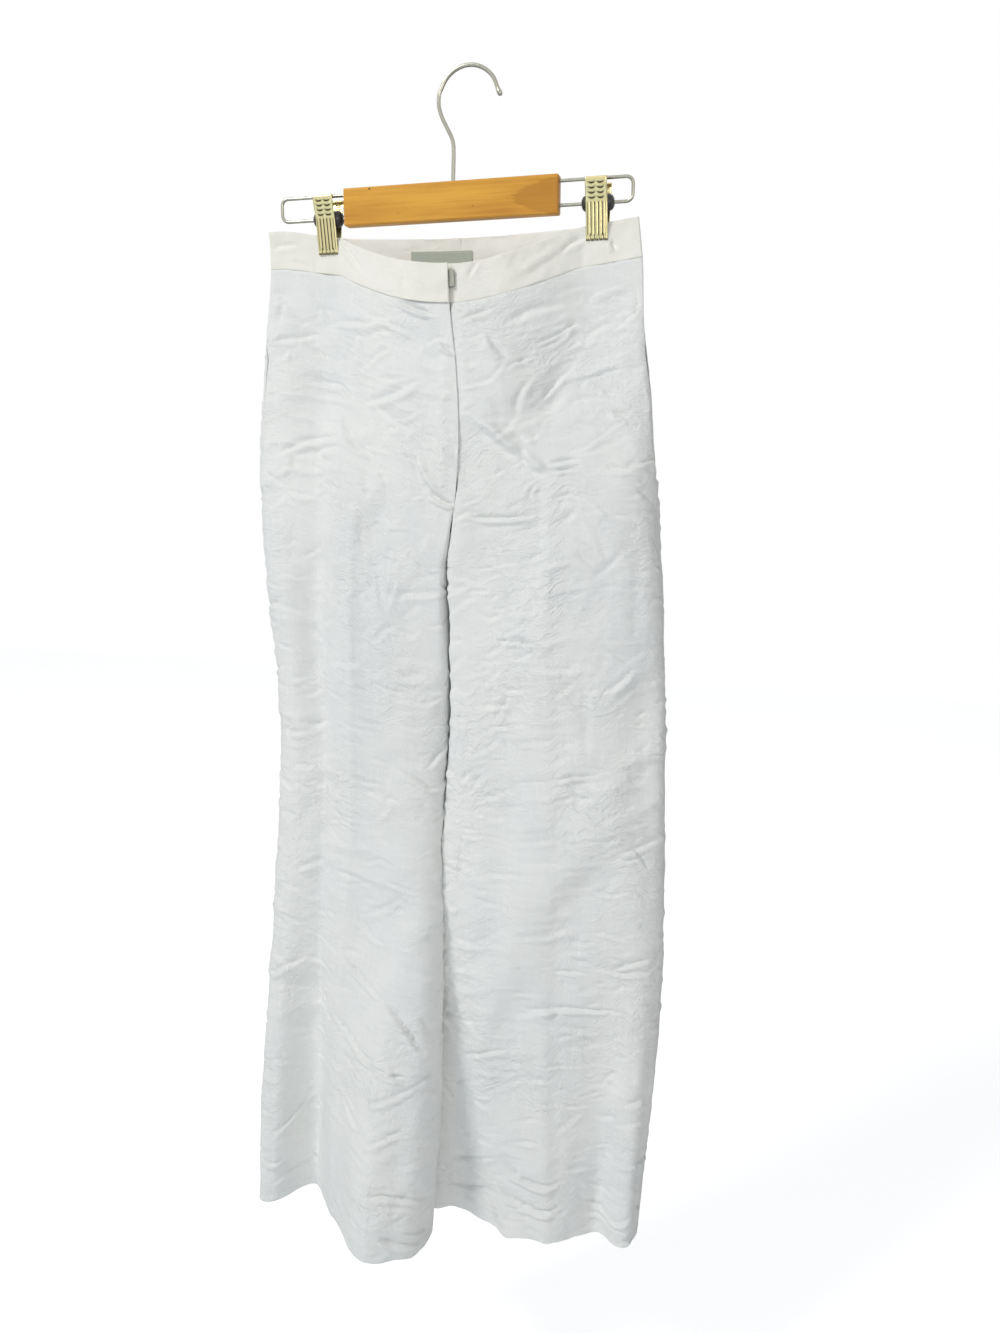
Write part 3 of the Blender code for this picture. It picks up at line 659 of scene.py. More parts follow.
# Large folds: u runs from 0 at the side seam over the pressed crease at 0.5 to 1 at the inner seam.
Fold = namedtuple("Fold", "leg face start full end topU bottomU width depth")
pastHem = 2000
largeFolds = [
    Fold("left", "front", 420, 980, pastHem, 0.74, 0.74, 0.27, 54),
    Fold("left", "front", 600, 980, pastHem, 0.62, 0.60, 0.13, 24),
    Fold("left", "front", 560, 980, pastHem, 0.38, 0.38, 0.15, -38),
    Fold("left", "front", 640, 980, pastHem, 0.15, 0.15, 0.12, 7),
    Fold("left", "front", 90, 180, 330, 0.34, 0.30, 0.20, -5),
    Fold("left", "front", 60, 150, 300, 0.66, 0.72, 0.18, 4),
    Fold("left", "front", 230, 360, 700, 0.35, 0.38, 0.12, -7),
    Fold("right", "front", 660, 980, pastHem, 0.36, 0.33, 0.20, -24),
    Fold("right", "front", 560, 980, pastHem, 0.22, 0.22, 0.13, 8),
    Fold("right", "front", 640, 980, pastHem, 0.74, 0.74, 0.12, -9),
    Fold("right", "front", 640, 980, pastHem, 0.90, 0.90, 0.10, 7),
    Fold("right", "front", 200, 300, 520, 0.70, 0.52, 0.20, 5),
    Fold("right", "front", 330, 460, 620, 0.20, 0.22, 0.16, -6),
    Fold("left", "back", 60, 250, 480, 0.11, 0.11, 0.18, 8),
    Fold("left", "back", 420, 940, pastHem, 0.28, 0.30, 0.22, -16),
    Fold("left", "back", 500, 960, pastHem, 0.70, 0.72, 0.26, 18),
    Fold("right", "back", 450, 940, pastHem, 0.28, 0.26, 0.22, -18),
    Fold("right", "back", 520, 960, pastHem, 0.74, 0.72, 0.26, 14),
]
foldFades = ((0, 0.08), (0.88, 0.98))  # in u, beside the side seam and the inner one

pressed = {
    "height": 1.7 * mm,
    "halfWidth": 0.035,  # in u
    "top": {"front": 150 * mm, "back": 240 * mm},
    "rise": 100 * mm,
    "line": 1.1 * mm,  # the sharp line along its top
    "lineWidth": 1.4 * mm,
    "lineFrom": 80 * mm,  # below the top
    "lineFade": 150 * mm,
}

fly = {
    "lap": 6 * mm,
    "gape": 0.8 * mm,
    "gapeEnd": 60 * mm,
    "step": 0.9 * mm,
    "lapEnds": (188 * mm, 200 * mm),
    "stepEnds": (206 * mm, 216 * mm),
    "stepU": (0.80, 0.93),
    "gapU": (0.9, 1),
    "lapU": (0.84, 1),
}


# One column of a table at any drop, as a smooth curve through its rows.
def column(table, name, drop):
    drops = np.array([row.drop for row in table]) * mm
    values = np.array([getattr(row, name) for row in table]) * mm
    slopes = np.gradient(values, drops)
    i = np.clip(np.searchsorted(drops, drop, side="right") - 1, 0, len(drops) - 2)
    span = drops[i + 1] - drops[i]
    t = np.clip((drop - drops[i]) / span, 0.0, 1.0)
    return (
        (2 * t**3 - 3 * t**2 + 1) * values[i]
        + (t**3 - 2 * t**2 + t) * span * slopes[i]
        + (3 * t**2 - 2 * t**3) * values[i + 1]
        + (t**3 - t**2) * span * slopes[i + 1]
    )


# 0 where the inner edge is the centre seam, 1 where it is the inseam.
def innerTurn(face, drop):
    top = form["flyEnd"] if face == "front" else form["backCurveTop"]
    down = np.clip((drop - top) / (form["crotch"] - top), 0.0, 1.0)
    return 1 - np.sqrt(1 - down**2)


# 0 at a clip's edge and 1 at the centre; below 0 between the clip and the side.
def hangingFree(x, drop):
    centreX = column(legSections["left"], "innerX", np.minimum(drop, form["flyEnd"]))
    leftEdge = form["clipX"]["left"] + form["clipEdge"]
    rightEdge = form["clipX"]["right"] - form["clipEdge"]
    edge = np.where(x < centreX, leftEdge, rightEdge)
    return (x - edge) / (centreX - edge)


def clothHeight(face, x, drop):
    free = hangingFree(x, drop)
    power = np.where(x < 0, form["sagPower"]["left"], form["sagPower"]["right"])
    between = np.sin(math.pi / 2 * np.clip(free, 0, 1) ** power)
    outside = np.clip(1 + free / form["clipToSide"], 0, 1)
    sag = column(centreSeams, face + "Sag", drop) * between
    sag = sag + form["clipSag"] * outside * (1 - smooth(drop, 0, form["clipSagEnd"]))
    return form["waistZ"] - form["waistTilt"] * x - drop - sag


# The middle of the cloth without its folds: the shape of the solids, with softer corners.
def sheetOf(leg, face, u, drop):
    table = legSections[leg]
    side = 1 if face == "back" else -1
    sideX = column(table, "sideX", drop)
    sideY = column(table, "sideY", drop)
    creaseX = column(table, "creaseX", drop)
    faceY = column(table, face + "Y", drop)
    innerX = column(table, "innerX", drop)
    innerY = column(table, "innerY", drop) + side * form["seamGap"] / 2
    centreY = column(centreSeams, face + "Y", drop)
    opened = smooth(drop, form["bandHeight"], form["hipOpen"])
    edgeY = sideY + side * mix(form["sideHalfGap"], form["seamGap"] / 2, opened)
    power = 2 / form["cornerPower"]

    t = np.clip(u / 0.5, 0.0, 1.0)
    angle = t * math.pi / 2
    ringX = creaseX + (sideX - creaseX) * np.cos(angle).clip(0) ** power
    outerY = edgeY + (faceY - edgeY) * np.sin(angle).clip(0) ** power
    outerX = mix(mix(sideX, creaseX, t), ringX, opened)

    t = np.clip((u - 0.5) / 0.5, 0.0, 1.0)
    angle = t * math.pi / 2
    deep = np.abs(faceY - innerY) * innerTurn(face, drop)
    wide = np.abs(innerX - creaseX) - form["wall"] / 2 * smooth(deep, 0, form["cornerClears"])
    past = t * (wide + deep) - wide
    soft = form["cornerSoftness"] * deep + 1e-6
    turnedIn = soft * np.logaddexp(0, past / soft)
    squareX = creaseX + np.sign(innerX - creaseX) * (past + wide - turnedIn)
    swing = np.sin(angle) * (1 - smooth(drop, form["flyEnd"], form["crotch"]))
    squareY = mix(faceY, centreY, swing) - side * turnedIn
    if leg == "right":  # squarer at the thigh, where it lies behind the other leg
        narrow = smooth(drop, *form["thighEnds"])
        power = 2 / mix(form["thighCornerPower"], form["cornerPower"], narrow)
    roundX = creaseX + (innerX - creaseX) * np.sin(angle).clip(0) ** power
    roundY = innerY + (faceY - innerY) * np.cos(angle).clip(0) ** power
    rounded = smooth(drop, form["crotch"], form["roundFrom"])
    innerPartX = mix(squareX, roundX, rounded)
    if face == "front":
        innerPartX = innerPartX + column(table, "lobe", drop) * np.sin(t * math.pi) ** 2 * rounded
    x = np.where(u < 0.5, outerX, innerPartX)
    ringY = np.where(u < 0.5, outerY, mix(squareY, roundY, rounded))

    free = form["clipSoftness"] * np.logaddexp(0, hangingFree(x, drop) / form["clipSoftness"])
    free = np.minimum(free, 1)
    waistY = edgeY + (centreY - edgeY) * np.sin(free * math.pi / 2)
    return np.stack([x, mix(waistY, ringY, opened), clothHeight(face, x, drop)], axis=-1)


# The level direction out of the cloth.
def outward(leg, face, u, drop):
    step = 0.01
    ahead = sheetOf(leg, face, np.minimum(u + step, 1), drop)
    behind = sheetOf(leg, face, np.maximum(u - step, 0), drop)
    along = ahead - behind
    out = np.stack([along[..., 1], -along[..., 0], np.zeros_like(u)], axis=-1)
    if (face == "back") == (leg == "left"):
        out = -out
    return out / np.linalg.norm(out, axis=-1, keepdims=True)


# Points at a distance out from the smooth sheet.
def raised(leg, face, u, drop, out):
    return sheetOf(leg, face, u, drop) + outward(leg, face, u, drop) * out[..., None]


def foldDepth(leg, face, u, drop):
    depth = np.zeros_like(u)
    for fold in largeFolds:
        if (fold.leg, fold.face) != (leg, face):
            continue
        start, full, end = fold.start * mm, fold.full * mm, fold.end * mm
        place = mix(fold.topU, fold.bottomU, np.clip((drop - start) / (full - start), 0, 1))
        across = np.clip(np.abs(u - place) / fold.width, 0, 1)
        lasting = smooth(drop, start, full) * (1 - smooth(drop, full, end) if end < 1 else 1)
        depth += fold.depth * mm * np.cos(across * math.pi / 2) ** 2 * lasting
    crease = np.clip(1 - np.abs(u - 0.5) / pressed["halfWidth"], 0, 1)
    top = pressed["top"][face]
    ridge = pressed["height"] * crease * smooth(drop, top, top + pressed["rise"])
    return depth * tapered(u, foldFades) + ridge


# How far out and sideways a front moves near the fly, where the left one laps over.
def flyShift(leg, u, drop):
    stepped = fly["step"] * smooth(u, *fly["stepU"]) * (1 - smooth(drop, *fly["stepEnds"]))
    gap = form["seamGap"] / 2
    if leg == "left":
        return stepped, -gap * smooth(u, *fly["gapU"])
    lap = mix(-fly["gape"], fly["lap"], smooth(drop, form["bandHeight"], fly["gapeEnd"]))
    lap = lap * (1 - smooth(drop, *fly["lapEnds"]))
    return -stepped, (gap - lap) * smooth(u, *fly["lapU"])


flatU = np.linspace(0, 1, 101)
flatDrop = np.linspace(0, 1, 126)
flatTables = {}


# Distance along the cloth from the pressed crease, below 0 towards the side seam.
def acrossOf(leg, face, u, drop):
    if (leg, face) not in flatTables:
        gridU, gridDrop = np.meshgrid(flatU, flatDrop)
        points = raised(leg, face, gridU, gridDrop, foldDepth(leg, face, gridU, gridDrop))
        along = lengths(points, 1)
        crease = len(flatU) // 2
        flatTables[leg, face] = along - along[:, crease : crease + 1]
    table = flatTables[leg, face]
    x = np.clip(u, 0, 1) * (len(flatU) - 1)
    y = np.clip(drop, 0, 1) * (len(flatDrop) - 1)
    i = np.clip(x.astype(int), 0, len(flatU) - 2)
    j = np.clip(y.astype(int), 0, len(flatDrop) - 2)
    upper = mix(table[j, i], table[j, i + 1], x - i)
    lower = mix(table[j + 1, i], table[j + 1, i + 1], x - i)
    return mix(upper, lower, y - j)


print("form read")

# Routes hold places on the cloth in millimetres: across from the pressed crease, below 0 towards
# the side seam, and down from the waist. width is how far each side of the route reaches, above
# or outside it and then below or inside it.
SoftFold = namedtuple("SoftFold", "route width height")
softFolds = {
    "leftFront": [
        SoftFold([(-55, 65), (-45, 250), (-40, 450), (-35, 700), (-40, 930)], (12, 13), -5.5),
        SoftFold([(-15, 280), (-10, 450)], (5, 4), -0.8),
        SoftFold([(45, 185), (30, 235), (10, 300)], (14, 13), -2.4),
        SoftFold([(90, 65), (85, 110), (80, 155), (85, 195)], (9, 8), 1.3),
        SoftFold([(-60, 240), (-70, 310)], (8, 9), -1.2),
        SoftFold([(-90, 60), (-80, 160), (-85, 250)], (12, 16), 1.6),
        SoftFold([(60, 250), (40, 330), (30, 440)], (16, 14), 1.6),
        SoftFold([(70, 600), (50, 680), (20, 740)], (14, 12), -1.8),
        SoftFold([(20, 820), (50, 860), (70, 930)], (14, 12), -1.6),
        SoftFold([(-100, 880), (-75, 930), (-60, 1000)], (12, 12), 1.8),
    ],
    "rightFront": [
        SoftFold([(-100, 500), (-60, 535), (-30, 575), (0, 610), (25, 655), (45, 705), (70, 770),
                  (90, 850), (105, 930)], (34, 21), 7.5),
        SoftFold([(-105, 455), (-75, 490), (-45, 530)], (13, 11), 2.4),
        SoftFold([(-50, 435), (-15, 500), (10, 555), (30, 610)], (17, 12), 2.6),
        SoftFold([(-105, 375), (-70, 410), (-35, 445)], (14, 12), 2.2),
        SoftFold([(-20, 85), (-5, 130), (20, 170)], (15, 13), -2.2),
        SoftFold([(65, 60), (50, 100), (35, 150)], (12, 12), 1.6),
        SoftFold([(-90, 795), (-65, 860), (-40, 940)], (16, 13), 2.6),
        SoftFold([(-10, 640), (-10, 985)], (7, 8), -1.8),
        SoftFold([(-60, 90), (-75, 180), (-70, 260)], (14, 14), 1.6),
        SoftFold([(-80, 280), (-80, 365)], (7, 7), -1.6),
        SoftFold([(70, 270), (45, 330), (30, 400)], (14, 14), 1.4),
        SoftFold([(60, 560), (75, 640), (95, 720)], (14, 12), 1.8),
    ],
    "leftBack": [
        SoftFold([(78, 150), (40, 205), (-6, 236)], (18, 14), 3.0),
        SoftFold([(84, 232), (44, 272), (4, 300)], (16, 13), 2.6),
        SoftFold([(-78, 130), (-62, 230), (-66, 350)], (15, 15), -2.2),
        SoftFold([(60, 330), (34, 420), (22, 520)], (16, 15), 2.0),
        SoftFold([(-80, 520), (-40, 600), (-14, 700)], (22, 16), 3.4),
        SoftFold([(90, 560), (56, 660), (38, 780)], (20, 16), 3.0),
        SoftFold([(-70, 800), (-48, 880), (-40, 985)], (16, 14), 2.4),
    ],
    "rightBack": [
        SoftFold([(74, 140), (38, 190), (-4, 226)], (18, 14), 2.8),
        SoftFold([(88, 214), (50, 262), (8, 286)], (16, 13), 2.6),
        SoftFold([(-70, 110), (-60, 220), (-72, 330)], (15, 15), -2.0),
        SoftFold([(66, 318), (36, 400), (30, 510)], (16, 15), 1.8),
        SoftFold([(-84, 480), (-46, 580), (-20, 690)], (22, 16), 3.2),
        SoftFold([(84, 600), (52, 700), (36, 820)], (20, 16), 3.2),
        SoftFold([(-78, 830), (-54, 900), (-44, 985)], (16, 14), 2.2),
    ],
}

# A sharper crease: a groove where depth is below 0, with tuck as the share of a ridge just below.
Crease = namedtuple("Crease", "route width depth tuck")
creases = {
    "leftFront": [
        Crease([(-25, 0), (-10, 10), (5, 20)], 5, -1.0, 0.7),
        Crease([(50, 0), (55, 10), (60, 25)], 7, -0.5, 0.2),
        Crease([(40, 35), (65, 40), (85, 45)], 5, -1.9, 0.9),
        Crease([(-95, 15), (-65, 10)], 5, -0.6, 0.4),
        Crease([(-75, 25), (-55, 30)], 4, -0.6, 0.5),
        Crease([(-40, 80), (-10, 70), (25, 60)], 6, -1.0, 0.8),
        Crease([(25, 60), (45, 60), (60, 65)], 5, -0.9, 0.8),
        Crease([(-100, 100), (-75, 95), (-50, 90)], 6, -1.2, 0.6),
        Crease([(0, 110), (20, 90), (35, 80)], 5, -1.0, 0.8),
        Crease([(-65, 135), (-30, 135), (-10, 145)], 6, -1.2, 0.8),
        Crease([(-5, 145), (35, 125), (65, 105)], 7, -1.4, 0.8),
        Crease([(-90, 205), (-60, 190), (-25, 185)], 7, -1.4, 0.8),
        Crease([(-25, 160), (-10, 185), (15, 190)], 6, -1.3, 0.8),
        Crease([(85, 70), (100, 80)], 4, -1.4, 0.9),
        Crease([(60, 175), (70, 200), (85, 215)], 8, 1.4, 0.4),
        Crease([(70, 210), (85, 220), (100, 225)], 5, -2.0, 0.6),
        Crease([(25, 295), (30, 320), (35, 340)], 5, -0.9, 0.7),
        Crease([(35, 340), (40, 320), (45, 300)], 5, -0.8, 0.7),
        Crease([(-30, 530), (-15, 515), (-10, 500)], 5, -1.1, 0.8),
        Crease([(0, 515), (35, 510)], 4, -0.8, 0.8),
        Crease([(50, 490), (70, 500), (85, 510)], 5, -1.2, 0.9),
        Crease([(20, 555), (35, 535), (45, 510)], 5, -1.0, 0.7),
        Crease([(75, 490), (90, 470), (110, 455)], 6, -1.1, 0.7),
        Crease([(10, 600), (40, 585)], 4, -0.8, 0.8),
        Crease([(15, 655), (45, 635), (65, 615)], 5, -1.0, 0.8),
        Crease([(10, 655), (30, 670), (50, 675)], 5, -0.9, 0.7),
        Crease([(0, 705), (25, 720), (60, 730)], 5, -1.5, 0.9),
        Crease([(55, 725), (85, 750), (110, 780)], 5, -1.6, 0.9),
        Crease([(-100, 750), (-75, 730), (-50, 720)], 6, -1.2, 0.8),
        Crease([(-10, 775), (30, 790), (65, 795)], 6, -1.7, 0.9),
        Crease([(60, 795), (80, 800), (100, 800)], 5, -1.3, 0.8),
        Crease([(55, 835), (80, 825), (125, 800)], 5, -1.2, 0.8),
        Crease([(10, 850), (30, 860), (55, 865)], 6, -1.4, 0.8),
        Crease([(60, 885), (85, 865), (110, 850)], 5, -1.2, 0.8),
        Crease([(-105, 920), (-80, 905), (-55, 885)], 7, -1.6, 0.8),
        Crease([(-120, 950), (-105, 955), (-90, 950)], 5, -1.3, 0.9),
        Crease([(-110, 980), (-85, 970), (-55, 970)], 5, -1.4, 0.8),
        Crease([(15, 905), (15, 950), (25, 1000)], 4, 0.8, 0.6),
        Crease([(50, 960), (75, 965)], 4, -0.9, 0.7),
        Crease([(70, 930), (100, 925), (150, 940)], 5, -1.3, 0.9),
        Crease([(90, 965), (110, 980), (150, 985)], 6, -1.6, 1.0),
        Crease([(110, 965), (130, 970), (155, 980)], 4, -1.3, 0.8),
    ],
    "rightFront": [
        Crease([(-25, 10), (-10, 10), (0, 15)], 6, -1.0, 0.5),
        Crease([(0, 10), (20, 15), (40, 20)], 9, 0.8, 0.3),
        Crease([(-50, 25), (-45, 15)], 4, -0.9, 0.7),
        Crease([(75, 0), (80, 5), (85, 15)], 5, -0.7, 0.4),
        Crease([(45, 90), (55, 80), (65, 65)], 6, -1.2, 0.7),
        Crease([(60, 45), (75, 45), (90, 50)], 5, -1.1, 0.5),
        Crease([(-5, 60), (25, 55), (50, 60)], 8, -1.0, 0.4),
        Crease([(-15, 120), (0, 130), (10, 140)], 6, -1.1, 0.7),
        Crease([(25, 185), (45, 165), (70, 140)], 9, 2.3, 0.5),
        Crease([(0, 210), (15, 195), (25, 180)], 7, 1.8, 0.5),
        Crease([(-30, 205), (0, 200)], 5, -1.3, 0.9),
        Crease([(-75, 215), (-50, 210)], 5, -0.9, 0.7),
        Crease([(10, 245), (45, 240), (75, 235)], 5, -1.4, 0.9),
        Crease([(20, 275), (40, 270), (60, 265)], 5, -1.0, 0.8),
        Crease([(0, 370), (25, 360), (55, 355)], 4, -1.0, 0.9),
        Crease([(-80, 390), (-65, 405), (-50, 415)], 6, -1.1, 0.7),
        Crease([(-25, 405), (-5, 420)], 5, -0.9, 0.7),
        Crease([(35, 400), (45, 420), (55, 440)], 5, -1.2, 0.8),
        Crease([(30, 440), (60, 440)], 4, -1.1, 0.9),
        Crease([(10, 460), (35, 455)], 4, -0.9, 0.8),
        Crease([(-35, 385), (-35, 495)], 8, -0.7, 0.1),
        Crease([(-30, 495), (0, 500)], 4, -0.9, 0.8),
        Crease([(-110, 675), (-85, 680), (-60, 690)], 5, -1.0, 0.8),
        Crease([(-40, 695), (-5, 695)], 4, -0.9, 0.8),
        Crease([(-80, 735), (-20, 735), (25, 735)], 5, -1.2, 0.9),
        Crease([(-85, 820), (-70, 805), (-55, 825)], 4, -1.0, 0.8),
        Crease([(35, 780), (60, 785), (90, 795)], 5, -1.0, 0.8),
        Crease([(50, 905), (85, 920), (115, 930)], 5, -1.1, 0.8),
        Crease([(-20, 930), (5, 935), (30, 925), (50, 910)], 6, -1.8, 0.9),
        Crease([(-20, 955), (5, 965), (35, 955), (60, 935)], 6, -1.6, 0.9),
        Crease([(-95, 965), (-75, 975), (-30, 955)], 5, -1.4, 0.9),
        Crease([(55, 945), (90, 965), (120, 970)], 4, -1.2, 0.9),
        Crease([(45, 995), (55, 980), (60, 965)], 5, -1.4, 0.6),
    ],
    "leftBack": [
        Crease([(-76, 60), (-44, 52), (-14, 49)], 7, -1.0, 0.6),
        Crease([(-4, 70), (36, 82), (78, 96)], 7, -1.2, 0.7),
        Crease([(-56, 132), (-30, 138), (-8, 150)], 6, -1.2, 0.8),
        Crease([(10, 184), (44, 170), (84, 150)], 8, -1.4, 0.7),
        Crease([(20, 232), (56, 222), (90, 204)], 7, -1.4, 0.8),
        Crease([(0, 262), (28, 271), (62, 266)], 6, -1.3, 0.8),
        Crease([(-66, 290), (-44, 276), (-22, 268)], 6, -1.0, 0.8),
        Crease([(24, 332), (58, 318), (86, 298)], 7, -1.3, 0.8),
        Crease([(-44, 402), (-6, 420)], 5, -1.0, 0.8),
        Crease([(8, 468), (30, 462), (54, 452)], 5, -1.1, 0.9),
        Crease([(16, 486), (44, 501)], 5, -1.0, 0.8),
        Crease([(-48, 508), (-28, 503), (-8, 492)], 5, -1.1, 0.9),
        Crease([(12, 590), (38, 578), (62, 560)], 6, -1.1, 0.8),
        Crease([(-76, 640), (-46, 650), (-12, 668)], 6, -1.2, 0.8),
        Crease([(4, 700), (32, 718), (58, 743)], 6, -1.4, 0.9),
        Crease([(-44, 764), (-8, 752)], 5, -0.9, 0.8),
        Crease([(10, 818), (40, 812), (66, 800)], 6, -1.3, 0.9),
        Crease([(-84, 850), (-56, 838), (-30, 822)], 6, -1.2, 0.8),
        Crease([(8, 884), (30, 894), (50, 900)], 5, -1.2, 0.8),
        Crease([(-66, 930), (-36, 925), (-12, 918)], 5, -1.3, 0.9),
        Crease([(12, 955), (44, 952), (74, 940)], 6, -1.4, 0.9),
        Crease([(-54, 975), (-8, 982)], 5, -1.1, 0.8),
    ],
    "rightBack": [
        Crease([(-72, 52), (-48, 58), (-20, 66)], 7, -1.0, 0.6),
        Crease([(4, 104), (40, 96), (80, 82)], 7, -1.3, 0.7),
        Crease([(-46, 160), (-28, 150), (-10, 142)], 6, -1.0, 0.8),
        Crease([(12, 158), (46, 170), (78, 188)], 8, -1.4, 0.7),
        Crease([(24, 214), (56, 222), (90, 232)], 7, -1.3, 0.8),
        Crease([(-2, 262), (26, 258), (58, 246)], 6, -1.2, 0.8),
        Crease([(-64, 262), (-44, 272), (-24, 286)], 6, -1.1, 0.8),
        Crease([(22, 302), (54, 312), (88, 330)], 7, -1.2, 0.8),
        Crease([(-56, 380), (-12, 366)], 5, -1.0, 0.8),
        Crease([(6, 442), (28, 450), (50, 463)], 5, -1.1, 0.9),
        Crease([(-44, 470), (-24, 476), (-6, 486)], 5, -1.0, 0.9),
        Crease([(12, 513), (42, 500)], 5, -1.0, 0.8),
        Crease([(-80, 566), (-46, 578), (-16, 597)], 7, -1.2, 0.8),
        Crease([(8, 640), (36, 630), (60, 612)], 6, -1.1, 0.8),
        Crease([(-58, 690), (-10, 676)], 5, -1.0, 0.8),
        Crease([(4, 742), (30, 752), (56, 760)], 6, -1.3, 0.9),
        Crease([(-74, 790), (-48, 800), (-22, 813)], 6, -1.2, 0.8),
        Crease([(12, 838), (42, 846), (72, 858)], 6, -1.2, 0.9),
        Crease([(-60, 892), (-12, 876)], 5, -1.1, 0.8),
        Crease([(8, 930), (40, 928), (68, 914)], 6, -1.5, 0.9),
        Crease([(-80, 952), (-52, 948), (-24, 940)], 5, -1.3, 0.9),
        Crease([(8, 972), (32, 979), (58, 984)], 5, -1.2, 0.8),
    ],
}

crumples = {  # small ones between the named creases, the same at every run
    "count": 850,
    "length": (8 * mm, 50 * mm),
    "width": (1.6 * mm, 3.6 * mm),
    "depth": (0.35 * mm, 1.6 * mm),
    "tilt": 0.5,  # radians, as a spread
    "bend": 0.1,  # of the length
    "fewLong": 1.6,  # above 1, long and deep ones are fewer
    "tuck": (0.3, 1.0),
    "drops": (44 * mm, 996 * mm),
    "margin": 9 * mm,
    "seeds": {"leftFront": 11, "rightFront": 12, "leftBack": 13, "rightBack": 14},
}

cloth = {
    "thick": 0.8 * mm,
    "hemThick": 0.5 * mm,  # the turned-up hem adds this
    "hemHeight": 24 * mm,
    "seamRoll": 0.7 * mm,
    "seamRollWidth": 3.0 * mm,
    "pucker": 0.35 * mm,
    "puckerLength": 8 * mm,
    "puckerReach": 5 * mm,
    "swell": 1.7 * mm,
    "swellSize": 45 * mm,
    "swellSquash": 0.7,  # of its size down the leg
    "finerSwell": (2.3, 1.9, 0.45),  # how much finer across and down, and its share
    "calm": (34 * mm, 70 * mm),  # the drops over which the loose cloth begins
    "looseFades": ((0.0, 0.05), (0.93, 0.99)),  # in u
    "creased": 2.3,  # deepens all the named creases
    "creaseFades": ((-0.06, 0.35), (0.65, 1.06)),  # along a crease, from 0 to 1
    "creaseMargin": 20 * mm,
    "wobble": 0.6 * mm,
    "wobbleSize": 18 * mm,
    "softFades": ((-0.08, 0.3), (0.7, 1.08)),
    "softMargin": 90 * mm,
    "softWobble": 4 * mm,
    "softWobbleSize": (40 * mm, 50 * mm),
    "closer": (1.5 * mm, 0.75 * mm),  # the legs lie against each other, most of all at the thighs
    "closerFrom": (281 * mm, 292 * mm),
    "closerFade": (550 * mm, 780 * mm),
    "closerU": (0.7, 1),
    "seamCloser": 1.0 * mm,
    "seamCloserFade": 25 * mm,
    "leftShare": 0.3,
    "hemWave": 1.6 * mm,
    "hemWaveSize": 16 * mm,
    "hemReach": 100 * mm,
    "hemFades": ((0, 0.1), (0.9, 1)),
    "hemLift": 13 * mm,  # of the right leg's front, by its inner side
    "hemLiftAcross": (44 * mm, 62 * mm),
}

facets = {
    "height": 1.5 * mm,
    "size": (46 * mm, 24 * mm),
    "slant": (70 * mm, 160 * mm),
    "finerBy": (2.3, 2.1),
    "finerSlant": (-50 * mm, -120 * mm),
    "finerShare": 0.4,
    "sharpness": 2.2,
    "level": 0.6,
    "patchSize": 70 * mm,
    "patchRange": (-0.3, 0.4),
    "patchLeast": 0.35,
}


# Distance to a route and how far along it, from 0 to 1; the distance is above 0 below the route
# or on its inner side.
def routeDistance(across, drop, route):
    path = through(np.array(route, float) * mm, 4) if len(route) > 2 else np.array(route, float) * mm
    best = np.full(across.shape, 1e9)
    aside, along = np.zeros_like(across), np.zeros_like(across)
    count = len(path) - 1
    for i, (start, end) in enumerate(zip(path, path[1:])):
        run, fall = end - start
        length = math.hypot(run, fall)
        t = ((across - start[0]) * run + (drop - start[1]) * fall) / length**2
        low = 0 if i else -9
        high = 1 if i < count - 1 else 9
        held = np.clip(t, low, high)
        offX = across - start[0] - held * run
        offY = drop - start[1] - held * fall
        distance = np.hypot(offX, offY) + 1e-9
        side = np.sign((drop - start[1]) * run - (across - start[0]) * fall)
        rank = distance + np.where((t < -0.5) | (t > 1.5), np.abs(t) * 1e-4, 0)
        closer = rank < best
        best = np.where(closer, rank, best)
        aside = np.where(closer, distance * side, aside)
        along = np.where(closer, (i + t) / count, along)
    return aside, along


# A narrow ridge along a route, thinner at its ends, with a tuck beside it.
def creaseShape(across, drop, crease):
    aside, along = routeDistance(across, drop, crease.route)
    taper = tapered(along, cloth["creaseFades"])
    reach = crease.width * mm / 2 * (0.55 + 0.45 * taper)
    main = np.exp(-((aside / reach) ** 2))
    other = np.exp(-(((aside - 1.5 * reach) / reach) ** 2))
    return (main - crease.tuck * other) * taper


def nearRoute(across, drop, route, margin):
    xs = [x * mm for x, _ in route]
    ys = [y * mm for _, y in route]
    inX = (across > min(xs) - margin) & (across < max(xs) + margin)
    return inX & (drop > min(ys) - margin) & (drop < max(ys) + margin)


def creaseDepth(name, across, drop):
    depth = np.zeros_like(across)
    wobble = softNoise(across / cloth["wobbleSize"], drop / cloth["wobbleSize"], 5) * cloth["wobble"]
    for crease in creases[name]:
        here = nearRoute(across, drop, crease.route, cloth["creaseMargin"])
        if here.any():
            shape = creaseShape(across[here], drop[here] + wobble[here], crease)
            depth[here] += crease.depth * mm * cloth["creased"] * shape
    return depth


def softDepth(name, across, drop):
    depth = np.zeros_like(across)
    wide, tall = cloth["softWobbleSize"]
    wobble = softNoise(across / wide, drop / tall, 6) * cloth["softWobble"]
    for fold in softFolds[name]:
        here = nearRoute(across, drop, fold.route, cloth["softMargin"])
        if not here.any():
            continue
        aside, along = routeDistance(across[here] + wobble[here], drop[here], fold.route)
        above, below = np.array(fold.width) * mm
        reach = np.where(aside < 0, above, below)
        taper = tapered(along, cloth["softFades"])
        depth[here] += fold.height * mm * np.exp(-((aside / reach) ** 2)) * taper
    return depth


